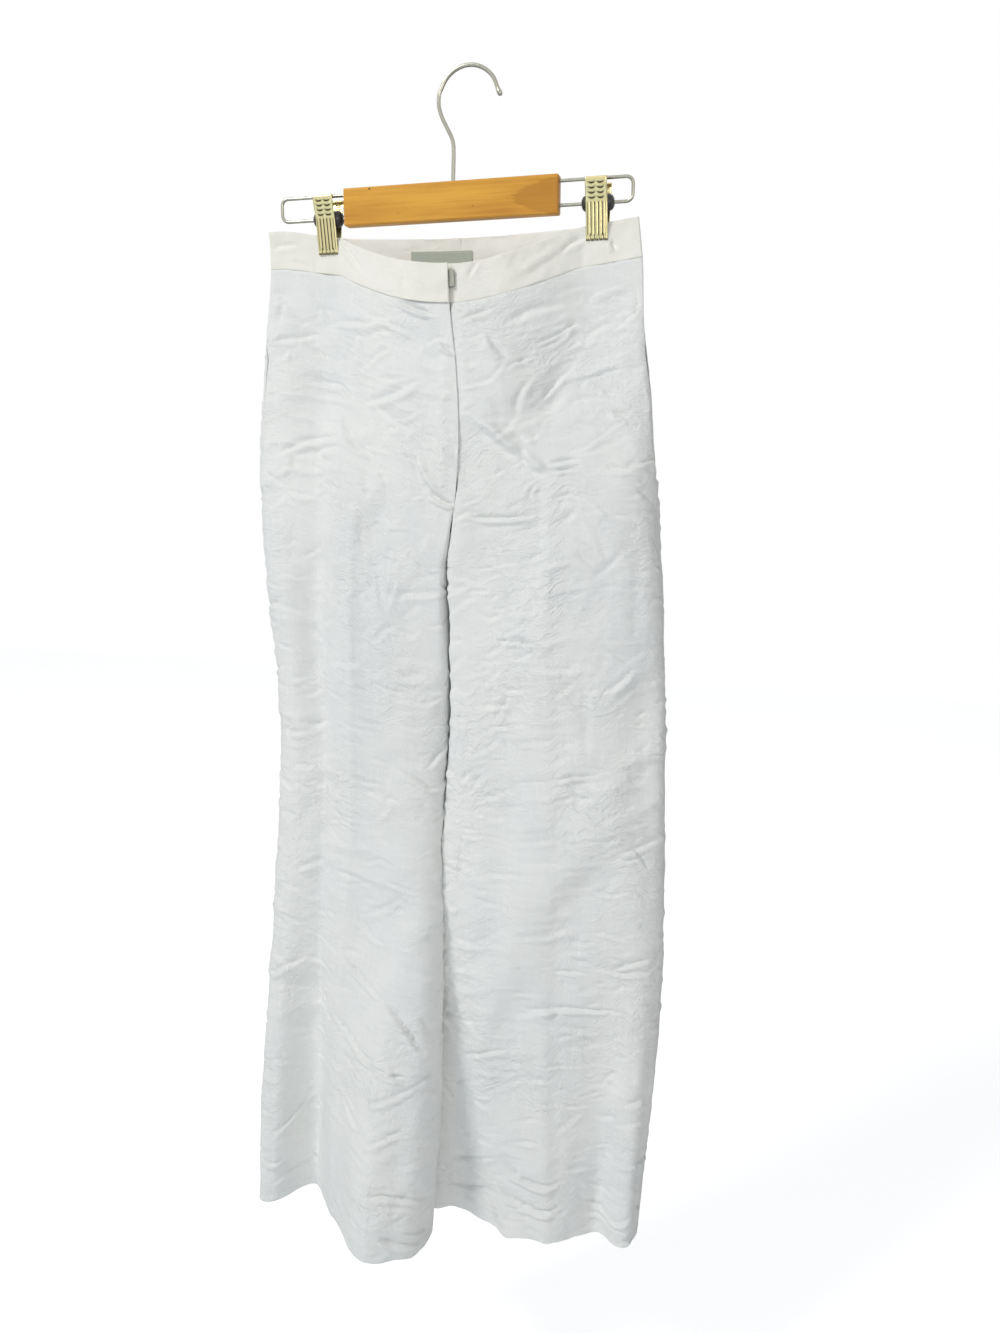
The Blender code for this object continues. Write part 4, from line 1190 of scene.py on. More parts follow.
def crumpleDepth(name, across, down):
    chance = np.random.default_rng(crumples["seeds"][name])
    low, high = across.min() / mm, across.max() / mm
    top, bottom = [drop / mm for drop in crumples["drops"]]
    depth = np.zeros_like(across)
    for _ in range(crumples["count"]):
        x, y = chance.uniform(low, high), chance.uniform(top, bottom)
        length = mix(*crumples["length"], chance.uniform() ** crumples["fewLong"]) / mm
        width = mix(*crumples["width"], chance.uniform()) / mm * 2
        deep = mix(*crumples["depth"], chance.uniform() ** crumples["fewLong"])
        angle = chance.normal(0, crumples["tilt"])
        bow = chance.normal(0, crumples["bend"]) * length
        run, fall = math.cos(angle) * length / 2, math.sin(angle) * length / 2
        middle = (x - bow * math.sin(angle), y + bow * math.cos(angle))
        route = [(x - run, y - fall), middle, (x + run, y + fall)]
        here = nearRoute(across, down, route, crumples["margin"])
        tuck = chance.uniform(*crumples["tuck"])
        if here.any():
            crease = Crease(route, width, 0, tuck)
            depth[here] -= deep * creaseShape(across[here], down[here], crease)
    return depth


# Ridges along the lines where a stretched and slanted noise is 0.
def facetRidges(across, drop, grain, slant, seed):
    wide, tall = facets["size"]
    lines = softNoise(
        across / wide * grain[0] + drop / slant[0], drop / tall * grain[1] - across / slant[1], seed
    )
    return 1 - np.minimum(np.abs(lines) * facets["sharpness"], 1)


# Crumpled facets: ridges that run together, stronger in patches.
def facetDepth(seed, across, drop):
    ridges = facetRidges(across, drop, (1, 1), facets["slant"], seed + 2)
    finer = facetRidges(across, drop, facets["finerBy"], facets["finerSlant"], seed + 3)
    patches = softNoise(across / facets["patchSize"], drop / facets["patchSize"], seed + 4)
    share = mix(facets["patchLeast"], 1, smooth(patches, *facets["patchRange"]))
    return facets["height"] * (ridges + facets["finerShare"] * finer - facets["level"]) * share


# The cloth rolls in at its seams and puckers a little beside them.
def seamDepth(leg, face, across, drop):
    none = np.zeros_like(across)
    toSide = across - acrossOf(leg, face, none, drop)
    toInner = acrossOf(leg, face, none + 1, drop) - across
    if face == "front":
        toInner = np.where(drop < form["flyEnd"], 1.0, toInner)
    toBand = drop - form["bandHeight"]
    depth = np.zeros_like(across)
    for distance, along, seed in ((toSide, drop, 21), (toInner, drop, 22), (toBand, across, 23)):
        roll = np.clip(1 - distance / cloth["seamRollWidth"], 0, 1) ** 2
        ripple = softNoise(along / cloth["puckerLength"], none + seed * 1.7, seed)
        fade = np.exp(-np.abs(distance) / cloth["puckerReach"])
        depth += -cloth["seamRoll"] * roll + cloth["pucker"] * ripple * fade
    return depth


def surfaceDepth(leg, face, u, drop):
    name = leg + face.capitalize()
    seed = crumples["seeds"][name] * 10
    across = acrossOf(leg, face, u, drop)
    size = cloth["swellSize"]
    calm = smooth(drop, *cloth["calm"])
    inside = tapered(u, cloth["looseFades"])
    swell = softNoise(across / size, drop / size * cloth["swellSquash"], seed)
    finerAcross, finerDown, share = cloth["finerSwell"]
    swell = swell + share * softNoise(across / size * finerAcross, drop / size * finerDown, seed + 1)
    loose = crumpleDepth(name, across, drop) + cloth["swell"] * swell
    loose = (loose + facetDepth(seed + 2, across, drop)) * calm * inside
    firm = creaseDepth(name, across, drop) + softDepth(name, across, drop) * inside
    start = pressed["top"][face] + pressed["lineFrom"]
    sharp = smooth(drop, start, start + pressed["lineFade"])
    firm = firm + pressed["line"] * np.exp(-((across / pressed["lineWidth"]) ** 2)) * sharp
    return firm + loose + seamDepth(leg, face, across, drop)


pocket = {
    "mouth": (98 * mm, 247 * mm),
    "fades": (20 * mm, 12 * mm),  # below its top and above its foot
    "reach": 0.15,  # of u
    "turn": {"left": (0.025, 0.050), "right": (0.003, 0.005)},  # in u, above and below
    "lipGap": 0.009,
    "lift": 1.3 * mm,
    "u": (0.004, 0.42),
    "drops": (100 * mm, 350 * mm),
    "out": -1.7 * mm,
    "thick": 0.9 * mm,
    "narrowing": 0.6,
    "narrowingFade": (0.7, 1.15),
}


# How far a front stands open at its pocket, and how far the back panel turns round into it.
def pocketOpening(leg, u, drop):
    top, bottom = pocket["mouth"]
    above, below = pocket["fades"]
    opened = tapered(drop, ((top, top + above), (bottom - below, bottom)))
    opened = opened * (1 - smooth(u, 0.0, pocket["reach"]))
    return opened, mix(*pocket["turn"][leg], smooth(drop, top, bottom)) * opened


# How far a leg moves sideways, to lie against the other one.
def legCloser(leg, u, drop):
    least, more = cloth["closer"]
    closer = least + more * (1 - smooth(drop, *cloth["closerFade"]))
    closer = closer * smooth(drop, *cloth["closerFrom"])
    atSeam = smooth(drop, form["flyEnd"], form["flyEnd"] + cloth["seamCloserFade"])
    closer = closer + cloth["seamCloser"] * atSeam * (drop < form["crotch"])
    share = cloth["leftShare"] if leg == "left" else cloth["leftShare"] - 1
    return closer * share * smooth(u, *cloth["closerU"])


def hemRise(leg, face, u, drop):
    across = acrossOf(leg, face, u, drop)
    inHem = smooth(drop, form["sideLength"] - cloth["hemReach"], form["sideLength"])
    inHem = inHem * tapered(u, cloth["hemFades"])
    seed = crumples["seeds"][leg + face.capitalize()]
    wave = softNoise(across / cloth["hemWaveSize"], np.full_like(across, seed), 31)
    rise = cloth["hemWave"] * wave * inHem
    if (leg, face) == ("right", "front"):
        rise = rise + cloth["hemLift"] * smooth(across, *cloth["hemLiftAcross"]) * inHem
    return rise


def panelPoints(leg, face, u, drop, extra=0.0):
    out = foldDepth(leg, face, u, drop) + surfaceDepth(leg, face, u, drop) + extra
    opened, turn = pocketOpening(leg, u, drop)
    if face == "front":
        step, sideways = flyShift(leg, u, drop)
        out = out + step + pocket["lift"] * opened
        points = raised(leg, face, u + turn + pocket["lipGap"] * opened, drop, out)
    else:
        gap = form["seamGap"] / 2
        sideways = (gap if leg == "right" else -gap) * smooth(u, *fly["gapU"])
        wrapped = raised(leg, "front", np.maximum(turn - u, 0), drop, out)
        points = raised(leg, face, np.maximum(u - turn, 0), drop, out)
        points = np.where((turn > u)[..., None], wrapped, points)
    points[..., 0] += sideways * (drop < form["crotch"]) + legCloser(leg, u, drop)
    leveled = clothHeight(face, points[..., 0], drop)
    points[..., 2] = np.where(drop < form["flyEnd"], leveled, points[..., 2])
    points[..., 2] += hemRise(leg, face, u, drop)
    return points


# Points at a distance across from the centre line, moved out from the cloth's middle.
def middlePoints(face, across, drop, out):
    across, drop, out = np.broadcast_arrays(across, drop, out)
    points = np.zeros(across.shape + (3,))
    for leg, here in (("left", across <= 0), ("right", across > 0)):
        table = legSections[leg]
        half = np.abs(column(table, "innerX", drop) - column(table, "creaseX", drop))
        u = 1 - 0.5 * np.abs(across) / half
        points = np.where(here[..., None], raised(leg, face, u, drop, out), points)
    return points


def sideOf(leg, face):
    return 1 if (leg == "left") == (face == "front") else -1


def finished(made, slot, *nodes):
    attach(made, "root")
    if nodes:
        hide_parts(*nodes)


panels = {  # numbers of columns and rows, and each panel's cut in metres: width, length and area
    "front": {"columns": 104, "hipRows": 180, "legRows": 500},
    "back": {"columns": 84, "hipRows": 130, "legRows": 390},
    "edgeU": 0.006,
    "edge": 1.2 * mm,
    "crotchRows": 9,
    "crotchTurn": (26 * mm, 24 * mm, 1 * mm),  # where its closer rows start above it, and end below
    "cuts": {
        "front_panel_left": (0.262, 0.975, 0.232),
        "front_panel_right": (0.262, 0.975, 0.222),
        "back_panel_left": (0.262, 0.975, 0.224),
        "back_panel_right": (0.262, 0.975, 0.220),
    },
}


def makePanels():
    first = form["bandHeight"] - 0.3 * mm
    crotch, end = form["crotch"], form["sideLength"]
    above, closeFrom, below = panels["crotchTurn"]
    for leg in legSections:
        for face in ("front", "back"):
            grid = panels[face]
            outer = spaced(0.0, 0.5, grid["columns"] // 2, panels["edgeU"])[: -len(edgeStops)]
            columns = np.concatenate([outer, [0.5], 1 - outer[::-1]])
            angles = np.linspace(0, math.pi / 2, panels["crotchRows"])
            turn = crotch - closeFrom * (1 - np.sin(angles))
            upper = spaced(first, crotch - above, grid["hipRows"], panels["edge"])[: -len(edgeStops)]
            lower = spaced(crotch + below, end, grid["legRows"], panels["edge"])[len(edgeStops) :]
            u, drop = np.meshgrid(columns, np.concatenate([upper, turn, lower]))
            points = panelPoints(leg, face, u, drop)
            inHem = smooth(drop, end - cloth["hemHeight"] - 2 * mm, end - cloth["hemHeight"])
            thick = cloth["thick"] + cloth["hemThick"] * inHem
            name = f"{face}_panel_{leg}"
            made = shell(name + "_cloth", points, thick, sideOf(leg, face), linen, coarse=2)
            finished(made, "linen", name)
            print(name, "made with", len(made.data.polygons) * 2, "triangles")


makePanels()

band = {
    "thick": 1.8 * mm,
    "step": 2.6 * mm,
    "underlap": 0.16,  # of u
    "rows": 26,
    "columns": 120,
    "rounding": 1.1 * mm,
    "swell": 0.8 * mm,
    "swellSize": (18 * mm, 14 * mm),
    "finerSize": (7 * mm, 9 * mm),
    "finerShare": 0.5,
    "stepU": (0.72, 0.84),
}


def bandPoints(leg, face, u, drop, out):
    along = acrossOf(leg, face, u, drop)
    seed = 51 if leg == "left" else 53
    wide, tall = band["swellSize"]
    fineWide, fineTall = band["finerSize"]
    swell = softNoise(along / wide, drop / tall, seed)
    swell = swell + band["finerShare"] * softNoise(along / fineWide, drop / fineTall, seed + 1)
    depth = creaseDepth(leg + face.capitalize(), along, drop) + band["swell"] * swell
    return raised(leg, face, u, drop, out + depth)


def makeWaistband():
    heights = spaced(0.0, form["bandHeight"], band["rows"], band["rounding"])
    columns = spaced(0.0, 1.0, band["columns"], panels["edgeU"])
    u, drop = np.meshgrid(columns, heights)
    step = smooth(u, *band["stepU"]) * band["step"]
    over = bandPoints("left", "front", u, drop, step)
    # the front bands' lighter, warmer cloth is painted light
    made = shell("waistband_front_left_cloth", over, band["thick"], 1, bandLinenPaintedLight, band["rounding"])
    finished(made, "linen", "waistband_front_left")

    under = bandPoints("right", "front", u, drop, -step)
    lap = np.linspace(1, 1 - band["underlap"], 24)[1:]
    lapU, lapDrop = np.meshgrid(lap, heights)
    end = bandPoints("left", "front", lapU, lapDrop, np.full_like(lapU, -band["step"]))
    under = np.concatenate([under, end], axis=1)
    made = shell("waistband_front_right_cloth", under, band["thick"], -1, bandLinenPaintedLight, band["rounding"])
    finished(made, "linen", "waistband_front_right")

    none = np.zeros_like(u)
    leftHalf = bandPoints("left", "back", u, drop, none)
    rightHalf = bandPoints("right", "back", u, drop, none)[:, -2::-1]
    whole = np.concatenate([leftHalf, rightHalf], axis=1)
    # the back band's lighter cloth is painted light on its inside
    made = shell("waistband_back_cloth", whole, band["thick"], -1, backBandLinenPaintedLight, band["rounding"])
    finished(made, "linen", "waistband_back")
    print("waistband made")


makeWaistband()

zipper = {
    "centre": -10 * mm,
    "tape": (-21 * mm, 9 * mm),
    "wall": 1.0 * mm,
    "drops": (35 * mm, 196 * mm),
    "slider": (6.5 * mm, 1.3 * mm, 9 * mm),
    "sliderDrop": 42 * mm,
    "sliderNarrows": 0.28,  # at its foot
    "behind": 1.9 * mm,  # the front cloth
    "coilApart": 0.8 * mm,
    "coil": {"Spacing": 1.3 * mm, "Length": 1.9 * mm, "Radius": 0.42 * mm},
}
zipper["out"] = -(fly["step"] + zipper["behind"] + form["seamGap"] + zipper["wall"] / 2)

shield = {
    "edges": (-28 * mm, 12 * mm),
    "drops": (35.3 * mm, 212 * mm),
    "thick": 0.9 * mm,
    "behind": 0.6 * mm,
}
shield["out"] = zipper["out"] - zipper["wall"] / 2 - form["seamGap"] - shield["behind"]

fastener = {
    "plate": 0.6 * mm,
    "drops": (6 * mm, 20 * mm),
    "hook": [(-14, 1.0), (-5, 1.0), (3, 1.0), (4.3, 0.6), (4.6, 0), (3.4, 0), (-3, 0)],
    "bar": [(-11, -1.0), (2, -1.0)],
}

label = {
    "edges": (-47 * mm, 11 * mm),
    "drops": (10.5 * mm, 31 * mm),
    "thick": 0.5 * mm,
    "out": -1.8 * mm,
    "inset": 1.4 * mm,
}


def strip(face, edges, drops, out, columns, rows, edge=0.8 * mm):
    across = spaced(*edges, columns, edge)
    down = spaced(*drops, rows, edge)
    across, down = np.meshgrid(across, down)
    return middlePoints(face, across, down, out)


def makeFly():
    points = strip("front", zipper["tape"], zipper["drops"], zipper["out"], 20, 70)
    made = shell("zip_tape", points, 0.7 * mm, 1, zipTape, 0.4 * mm)
    finished(made, "zip_tape", "zip")
    points = strip("front", shield["edges"], shield["drops"], shield["out"], 24, 80)
    # the shield shares the waistband's painted-light cloth
    made = shell("fly_shield_cloth", points, shield["thick"], 1, bandLinenPaintedLight, 0.6 * mm)
    finished(made, "linen", "fly_shield")


def makeFastener():
    low, high = fastener["drops"]
    for name in ("hook", "bar"):
        fine = through(np.array(fastener[name], float) * mm, 5)
        rows = spaced(low, high, 12, 0.6 * mm)
        points = np.stack([middlePoints("front", x, rows, y) for x, y in fine], axis=1)
        made = shell("waist_" + name + "_plate", points, fastener["plate"], 1, fastenerSteel, 0.3 * mm)
        finished(made, "fastener_steel", "waist_" + name)


def makeSlider():
    wide, thick, tall = zipper["slider"]
    centre, drop = zipper["centre"], zipper["sliderDrop"]
    across = np.linspace(-0.5, 0.5, 15)
    down = np.linspace(-0.5, 0.5, 19)
    share, fall = np.meshgrid(across, down)
    waist = 1 - zipper["sliderNarrows"] * smooth(fall, 0.0, 0.5)
    x = centre + share * wide * waist
    out = zipper["out"] + zipper["wall"] / 2 + form["seamGap"] + thick / 2
    points = middlePoints("front", x, drop + fall * tall, np.full_like(x, out))
    made = shell("zip_slider_body", points, thick, 1, fastenerSteel, 1.2 * mm)
    finished(made, "fastener_steel", "zip_slider")


def makeLabel():
    points = strip("back", label["edges"], label["drops"], label["out"], 50, 20, 0.5 * mm)
    # the label's greenish grey cloth is painted shade
    made = shell("blank_label", points, label["thick"], 1, labelSatinPaintedShade, 0.3 * mm)
    finished(made, "label_satin", "label")


makeFly()
makeFastener()
makeSlider()
makeLabel()
print("fly, fastener and label made")


def makePocketBags():
    for leg in legSections:
        share, down = np.meshgrid(spaced(0, 1, 34, 0.01), spaced(0, 1, 70, 0.004))
        top, bottom = pocket["u"]
        width = (bottom - top) * (1 - pocket["narrowing"] * smooth(down, *pocket["narrowingFade"]))
        u = top + width * share
        drop = mix(*pocket["drops"], down)
        points = panelPoints(leg, "front", u, drop, pocket["out"])
        made = shell(f"pocket_bag_{leg}_cloth", points, pocket["thick"], sideOf(leg, "front"), pocketing)
        finished(made, "pocketing", f"pocket_bag_{leg}")


makePocketBags()
print("pocket bags made")

hanger = {
    "wire": 3.0 * mm,
    "hookWire": 3.6 * mm,
    "hookRadius": 27 * mm,
    "barCentreX": -19.5 * mm,
    "barSize": (200 * mm, 12 * mm, 32.5 * mm),
    "barTop": -92 * mm,
    "loopEnds": {"left": -184.5 * mm, "right": 146 * mm},
    "upperWire": -97 * mm,
    "lowerWire": -117 * mm,
    "socket": 14 * mm,
    "loopCorner": 6 * mm,
    "hookCentreX": -1 * mm,
    "hookArc": (158, 40),
    "shank": [
        (-16, -104), (-16, -88), (-15.4, -68), (-16.4, -57.5), (-21.5, -47), (-26, -38),
        (-28.6, -29), (-28.4, -20.5),
    ],
    "tip": [(23, -13.5), (25.5, -20), (28.2, -25)],
    "bead": 1.35,
    "beadPlace": 3.4 * mm,  # from the tip
    "beadReach": 2.6 * mm,
    "tipRound": 2.2 * mm,
    "loopStart": 0.6 * mm,  # clear of the foot of its socket
}


def makeHook():
    radius, centreZ = hanger["hookRadius"], hanger["hookWire"] / 2 - hanger["hookRadius"]
    arc = [
        (
            hanger["hookCentreX"] + radius * math.cos(math.radians(angle)),
            centreZ + radius * math.sin(math.radians(angle)),
        )
        for angle in np.linspace(*hanger["hookArc"], 7)
    ]
    shank = [(x * mm, z * mm) for x, z in hanger["shank"]]
    tip = [(x * mm, z * mm) for x, z in hanger["tip"]]
    route = [(x, 0, z) for x, z in (*shank, *arc, *tip)]
    path = through(route, 12)
    length = np.concatenate([[0], np.cumsum(np.linalg.norm(np.diff(path, axis=0), axis=1))])
    fromTip = length[-1] - length
    wire = hanger["hookWire"] / 2
    swollen = np.exp(-(((fromTip - hanger["beadPlace"]) / hanger["beadReach"]) ** 2))
    bead = wire * mix(1, hanger["bead"], swollen)
    ball = np.sqrt(np.clip(1 - (1 - np.clip(fromTip / hanger["tipRound"], 0, 1)) ** 2, 0, 1))
    made = tube("hook_wire", path, bead * np.maximum(ball, 0.05), 20, wireSteel)
    finished(made, "wire_steel", "hook")


def makeLoops():
    corner, centreX = hanger["loopCorner"], hanger["barCentreX"]
    upper, lower = hanger["upperWire"], hanger["lowerWire"]
    for side, endX in hanger["loopEnds"].items():
        away = math.copysign(1, endX - centreX)
        startX = centreX + away * (hanger["barSize"][0] / 2 - hanger["socket"] + hanger["loopStart"])
        cornerX = endX - away * (hanger["wire"] / 2 + corner)
        path = [(x, 0, upper) for x in np.linspace(startX, cornerX, 12)]
        for centreZ, angles in ((upper - corner, (90, 0)), (lower + corner, (0, -90))):
            for angle in np.radians(np.linspace(*angles, 12)):
                x = cornerX + away * corner * math.cos(angle)
                path.append((x, 0, centreZ + corner * math.sin(angle)))
        path += [(x, 0, lower) for x in np.linspace(path[-1][0], startX, 12)[1:]]
        path = [p for i, p in enumerate(path) if i == 0 or math.dist(p, path[i - 1]) > 1e-5]
        radii = np.full(len(path), hanger["wire"] / 2)
        made = tube(f"wire_loop_{side}_wire", path, radii, 16, wireSteel)
        finished(made, "wire_steel", f"wire_loop_{side}")


def makeBar():
    bar = bpy.data.objects["hanger_bar"]
    bar.data.materials.clear()
    bar.data.materials.append(lacqueredWood)


makeHook()
makeLoops()
makeBar()
print("hook, wires and bar made")

clip = {
    "width": 19 * mm,
    "plate": 1.0 * mm,
    "profile": [
        (10.8, -99.8), (12.4, -98.6), (13.8, -99.6), (12.9, -104), (10.8, -110), (8.6, -117),
        (7.0, -125), (5.1, -136), (3.7, -144), (3.1, -148),
    ],
    "dimples": (2, 4),
    "dimpleZ": (-101.5 * mm, -116.5 * mm),
    "dimpleApart": 7.6 * mm,
    "dimpleCurve": (3.2 * mm, 0.9 * mm),
    "dimpleWidth": 0.75 * mm,
    "dimpleReach": 2.9 * mm,
    "dimpleDepth": 0.4 * mm,
    "lip": (1.3 * mm, 0.9 * mm, 0.16 * mm),  # how far above a dimple, its width and its height
    "ribs": 5,
    "ribZ": (-118 * mm, -143 * mm),
    "ribHeight": 0.35 * mm,
    "ribShare": 0.86,  # of the width
    "ribFade": 1.5 * mm,
    "edgeFrom": 0.9,  # of the half width
    "edgeDepth": 0.5 * mm,
    # edgeShade and backShade are shares of painted shade, along the edges and kept on the back plate
    "edgeShade": 0.55,
    "backShade": 0.7,
    "teeth": 5,
    "toothShare": 0.42,  # of the width, each way
    "toothDepth": 1.6 * mm,
    "toothZ": (-141 * mm, -148 * mm),
    # endShade and notchShade are the drops of painted shade at the tip and in the notches
    "endShade": (145.5 * mm, 147 * mm),
    "endShadeShare": 0.8,
    "notchShade": (141.5 * mm, 143 * mm),
    "barrel": [(14, 1.9), (14, 3.4), (12.6, 5.6), (10.4, 6.8), (8, 7.1)],
}


# How far a stamped plate stands out from its smooth shape, and its painted shade: dark in its dimples,
# between its ribs and along its edges.
def plateRelief(x, z, front):
    half = clip["width"] / 2
    columns, rows = clip["dimples"]
    top, bottom = clip["dimpleZ"]
    curveWidth, curveRise = clip["dimpleCurve"]
    above, lipWidth, lipHeight = clip["lip"]
    out, hollow = np.zeros_like(x), np.zeros_like(x)
    for i in range(columns):
        centreX = (i - (columns - 1) / 2) * clip["dimpleApart"]
        inReach = np.exp(-(((x - centreX) / clip["dimpleReach"]) ** 4))
        for j in range(rows):
            centreZ = mix(top, bottom, (j + 0.5) / rows)
            smile = z - centreZ - ((x - centreX) / curveWidth) ** 2 * curveRise
            dent = np.exp(-((smile / clip["dimpleWidth"]) ** 2)) * inReach
            lip = np.exp(-(((smile - above) / lipWidth) ** 2)) * inReach
            out += lipHeight * lip - clip["dimpleDepth"] * dent
            hollow = np.maximum(hollow, np.minimum(dent * 1.5, 1))
    ribTop, ribBottom = clip["ribZ"]
    fade = clip["ribFade"]
    inRibs = tapered(-z, ((-ribTop - fade, -ribTop), (-ribBottom, -ribBottom + fade)))
    turns = (x / (clip["width"] * clip["ribShare"]) + 0.5) * clip["ribs"]
    wave = 0.5 - 0.5 * np.cos(2 * math.pi * turns)
    inside = np.abs(x) < half * clip["ribShare"]
    out += inRibs * clip["ribHeight"] * wave * inside
    hollow = np.maximum(hollow, inRibs * np.minimum((1 - wave) ** 3 * 1.5, 1) * inside)
    edge = smooth(np.abs(x), half * clip["edgeFrom"], half)
    hollow = np.maximum(hollow, edge * clip["edgeShade"])
    out -= clip["edgeDepth"] * edge
    return out, hollow if front else hollow * clip["backShade"]


def makeClips():
    route = through(np.array(clip["profile"]) * mm, 14)
    across = spaced(-clip["width"] / 2, clip["width"] / 2, 62, 0.6 * mm)
    for side, clipX in form["clipX"].items():
        for face, sign in (("front", -1), ("back", 1)):
            x, row = np.meshgrid(across, np.arange(len(route)))
            y, z = route[row, 0], route[row, 1]
            fromEnd = smooth(z, *clip["toothZ"])
            turns = (x / clip["width"] + 0.5) * clip["teeth"]
            toothed = np.abs(x) < clip["width"] * clip["toothShare"]
            notch = smooth(np.cos(2 * math.pi * turns), 0.55, 0.9) * toothed
            z = z + fromEnd * notch * clip["toothDepth"]
            out, hollow = plateRelief(x, z, face == "front")
            points = np.stack([clipX + x, sign * (y + out), z], axis=-1)
            name = f"clip_{face}_plate_{side}"
            # more painted shade at the jaw's tip and in the notches between its teeth
            hollow = np.maximum(hollow, smooth(-z, *clip["endShade"]) * clip["endShadeShare"])
            hollow = np.maximum(hollow, notch * smooth(-z, *clip["notchShade"]))
            made = shell(name + "_stamped", points, clip["plate"], -sign, clipMetal, 0.5 * mm, hollow)
            finished(made, "clip_metal", name)
        profile = clip["barrel"]
        line = through([*profile, *((-x, radius) for x, radius in reversed(profile))], 4) * mm
        line = np.array([p for i, p in enumerate(line) if i == 0 or math.dist(p, line[i - 1]) > 1e-6])
        made = barrelMesh(f"clip_barrel_{side}_spool", clipX, line)
        finished(made, "clip_barrel", f"clip_barrel_{side}")


# A turned barrel round the lower wire, open along its middle.
def barrelMesh(name, clipX, line):
    sides = 40
    angles = np.linspace(0, 2 * math.pi, sides, endpoint=False)
    rings = np.stack(
        [
            np.broadcast_to(clipX + line[:, 0:1], (len(line), sides)),
            line[:, 1:2] * np.cos(angles),
            hanger["lowerWire"] + line[:, 1:2] * np.sin(angles),
        ],
        axis=-1,
    )
    count = len(line)
    faces = []
    for i in range(count):
        for j in range(sides):
            k, n = (j + 1) % sides, (i + 1) % count
            faces.append((i * sides + j, i * sides + k, n * sides + k, n * sides + j))
    return meshObject(name, rings.reshape(-1, 3), faces, clipBarrelBlack)


makeClips()
print("clips made")


def makeRowTree(name):
    tree = bpy.data.node_groups.new(name, "GeometryNodeTree")
    tree.interface.new_socket(name="Geometry", in_out="INPUT", socket_type="NodeSocketGeometry")
    for label, value in (("Spacing", 0.002), ("Length", 0.002), ("Radius", 0.0003), ("Turn", 0.0)):
        socket = tree.interface.new_socket(name=label, in_out="INPUT", socket_type="NodeSocketFloat")
        socket.default_value = value
    tree.interface.new_socket(name="Finish", in_out="INPUT", socket_type="NodeSocketMaterial")
    tree.interface.new_socket(name="Geometry", in_out="OUTPUT", socket_type="NodeSocketGeometry")
    given, out = addNode(tree, "NodeGroupInput"), addNode(tree, "NodeGroupOutput")
    curve = addNode(tree, "GeometryNodeMeshToCurve")
    join(tree, given, "Geometry", curve, "Mesh")
    evened = addNode(tree, "GeometryNodeResampleCurve", mode="LENGTH")
    join(tree, curve, "Curve", evened, "Curve")
    join(tree, given, "Spacing", evened, "Length")
    bead = addNode(tree, "GeometryNodeMeshUVSphere")
    bead.inputs["Segments"].default_value = 8
    bead.inputs["Rings"].default_value = 6
    bead.inputs["Radius"].default_value = 1.0
    size = addNode(tree, "ShaderNodeCombineXYZ")
    halved = addNode(tree, "ShaderNodeMath", operation="MULTIPLY")
    halved.inputs[1].default_value = 0.5
    join(tree, given, "Length", halved, 0)
    join(tree, halved, 0, size, "X")
    join(tree, given, "Radius", size, "Y")
    join(tree, given, "Radius", size, "Z")
    tangent = addNode(tree, "GeometryNodeInputTangent")
    turned = addNode(tree, "FunctionNodeAlignRotationToVector", axis="X")
    join(tree, tangent, "Tangent", turned, "Vector")
    up = addNode(tree, "GeometryNodeInputNamedAttribute", data_type="FLOAT_VECTOR")
    up.inputs["Name"].default_value = "up"
    settled = addNode(tree, "FunctionNodeAlignRotationToVector", axis="Z", pivot_axis="X")
    join(tree, turned, "Rotation", settled, "Rotation")
    join(tree, up, "Attribute", settled, "Vector")
    spin = addNode(tree, "FunctionNodeAxisAngleToRotation")
    spin.inputs["Axis"].default_value = (0, 0, 1)
    join(tree, given, "Turn", spin, "Angle")
    rotated = addNode(tree, "FunctionNodeRotateRotation", rotation_space="LOCAL")
    join(tree, settled, "Rotation", rotated, "Rotation")
    join(tree, spin, "Rotation", rotated, "Rotate By")
    placed = addNode(tree, "GeometryNodeInstanceOnPoints")
    join(tree, evened, "Curve", placed, "Points")
    join(tree, bead, "Mesh", placed, "Instance")
    join(tree, rotated, "Rotation", placed, "Rotation")
    join(tree, size, "Vector", placed, "Scale")
    real = addNode(tree, "GeometryNodeRealizeInstances")
    join(tree, placed, "Instances", real, "Geometry")
    coloured = addNode(tree, "GeometryNodeSetMaterial")
    join(tree, real, "Geometry", coloured, "Geometry")
    join(tree, given, "Finish", coloured, "Material")
    join(tree, coloured, "Geometry", out, "Geometry")
    return tree


rowTree = makeRowTree("rowOfBeads")


# Small beads along paths, for stitches and a coil; the turn is about each path's up.
def beadRow(name, paths, ups, bead, turn, finish):
    verts, edges, normals = [], [], []
    for path, up in zip(paths, ups):
        start = len(verts)
        verts += [tuple(point) for point in path]
        normals += [tuple(value) for value in up]
        edges += [(i, i + 1) for i in range(start, start + len(path) - 1)]
    mesh = bpy.data.meshes.new(name + "Guide")
    mesh.from_pydata(verts, edges, [])
    attribute = mesh.attributes.new("up", "FLOAT_VECTOR", "POINT")
    attribute.data.foreach_set("vector", np.array(normals, np.float32).ravel())
    guide = bpy.data.objects.new(name + "Guide", mesh)
    bpy.context.scene.collection.objects.link(guide)
    modifier = guide.modifiers.new("Row", "NODES")
    modifier.node_group = rowTree
    values = {**bead, "Turn": turn, "Finish": finish}
    for item in rowTree.interface.items_tree:
        if item.in_out == "INPUT" and item.name in values:
            modifier[item.identifier] = values[item.name]
    evaluated = guide.evaluated_get(bpy.context.evaluated_depsgraph_get())
    made = bpy.data.objects.new(name, bpy.data.meshes.new_from_object(evaluated))
    bpy.data.objects.remove(guide, do_unlink=True)
    made.data.shade_smooth()
    bpy.context.scene.collection.objects.link(made)
    return made


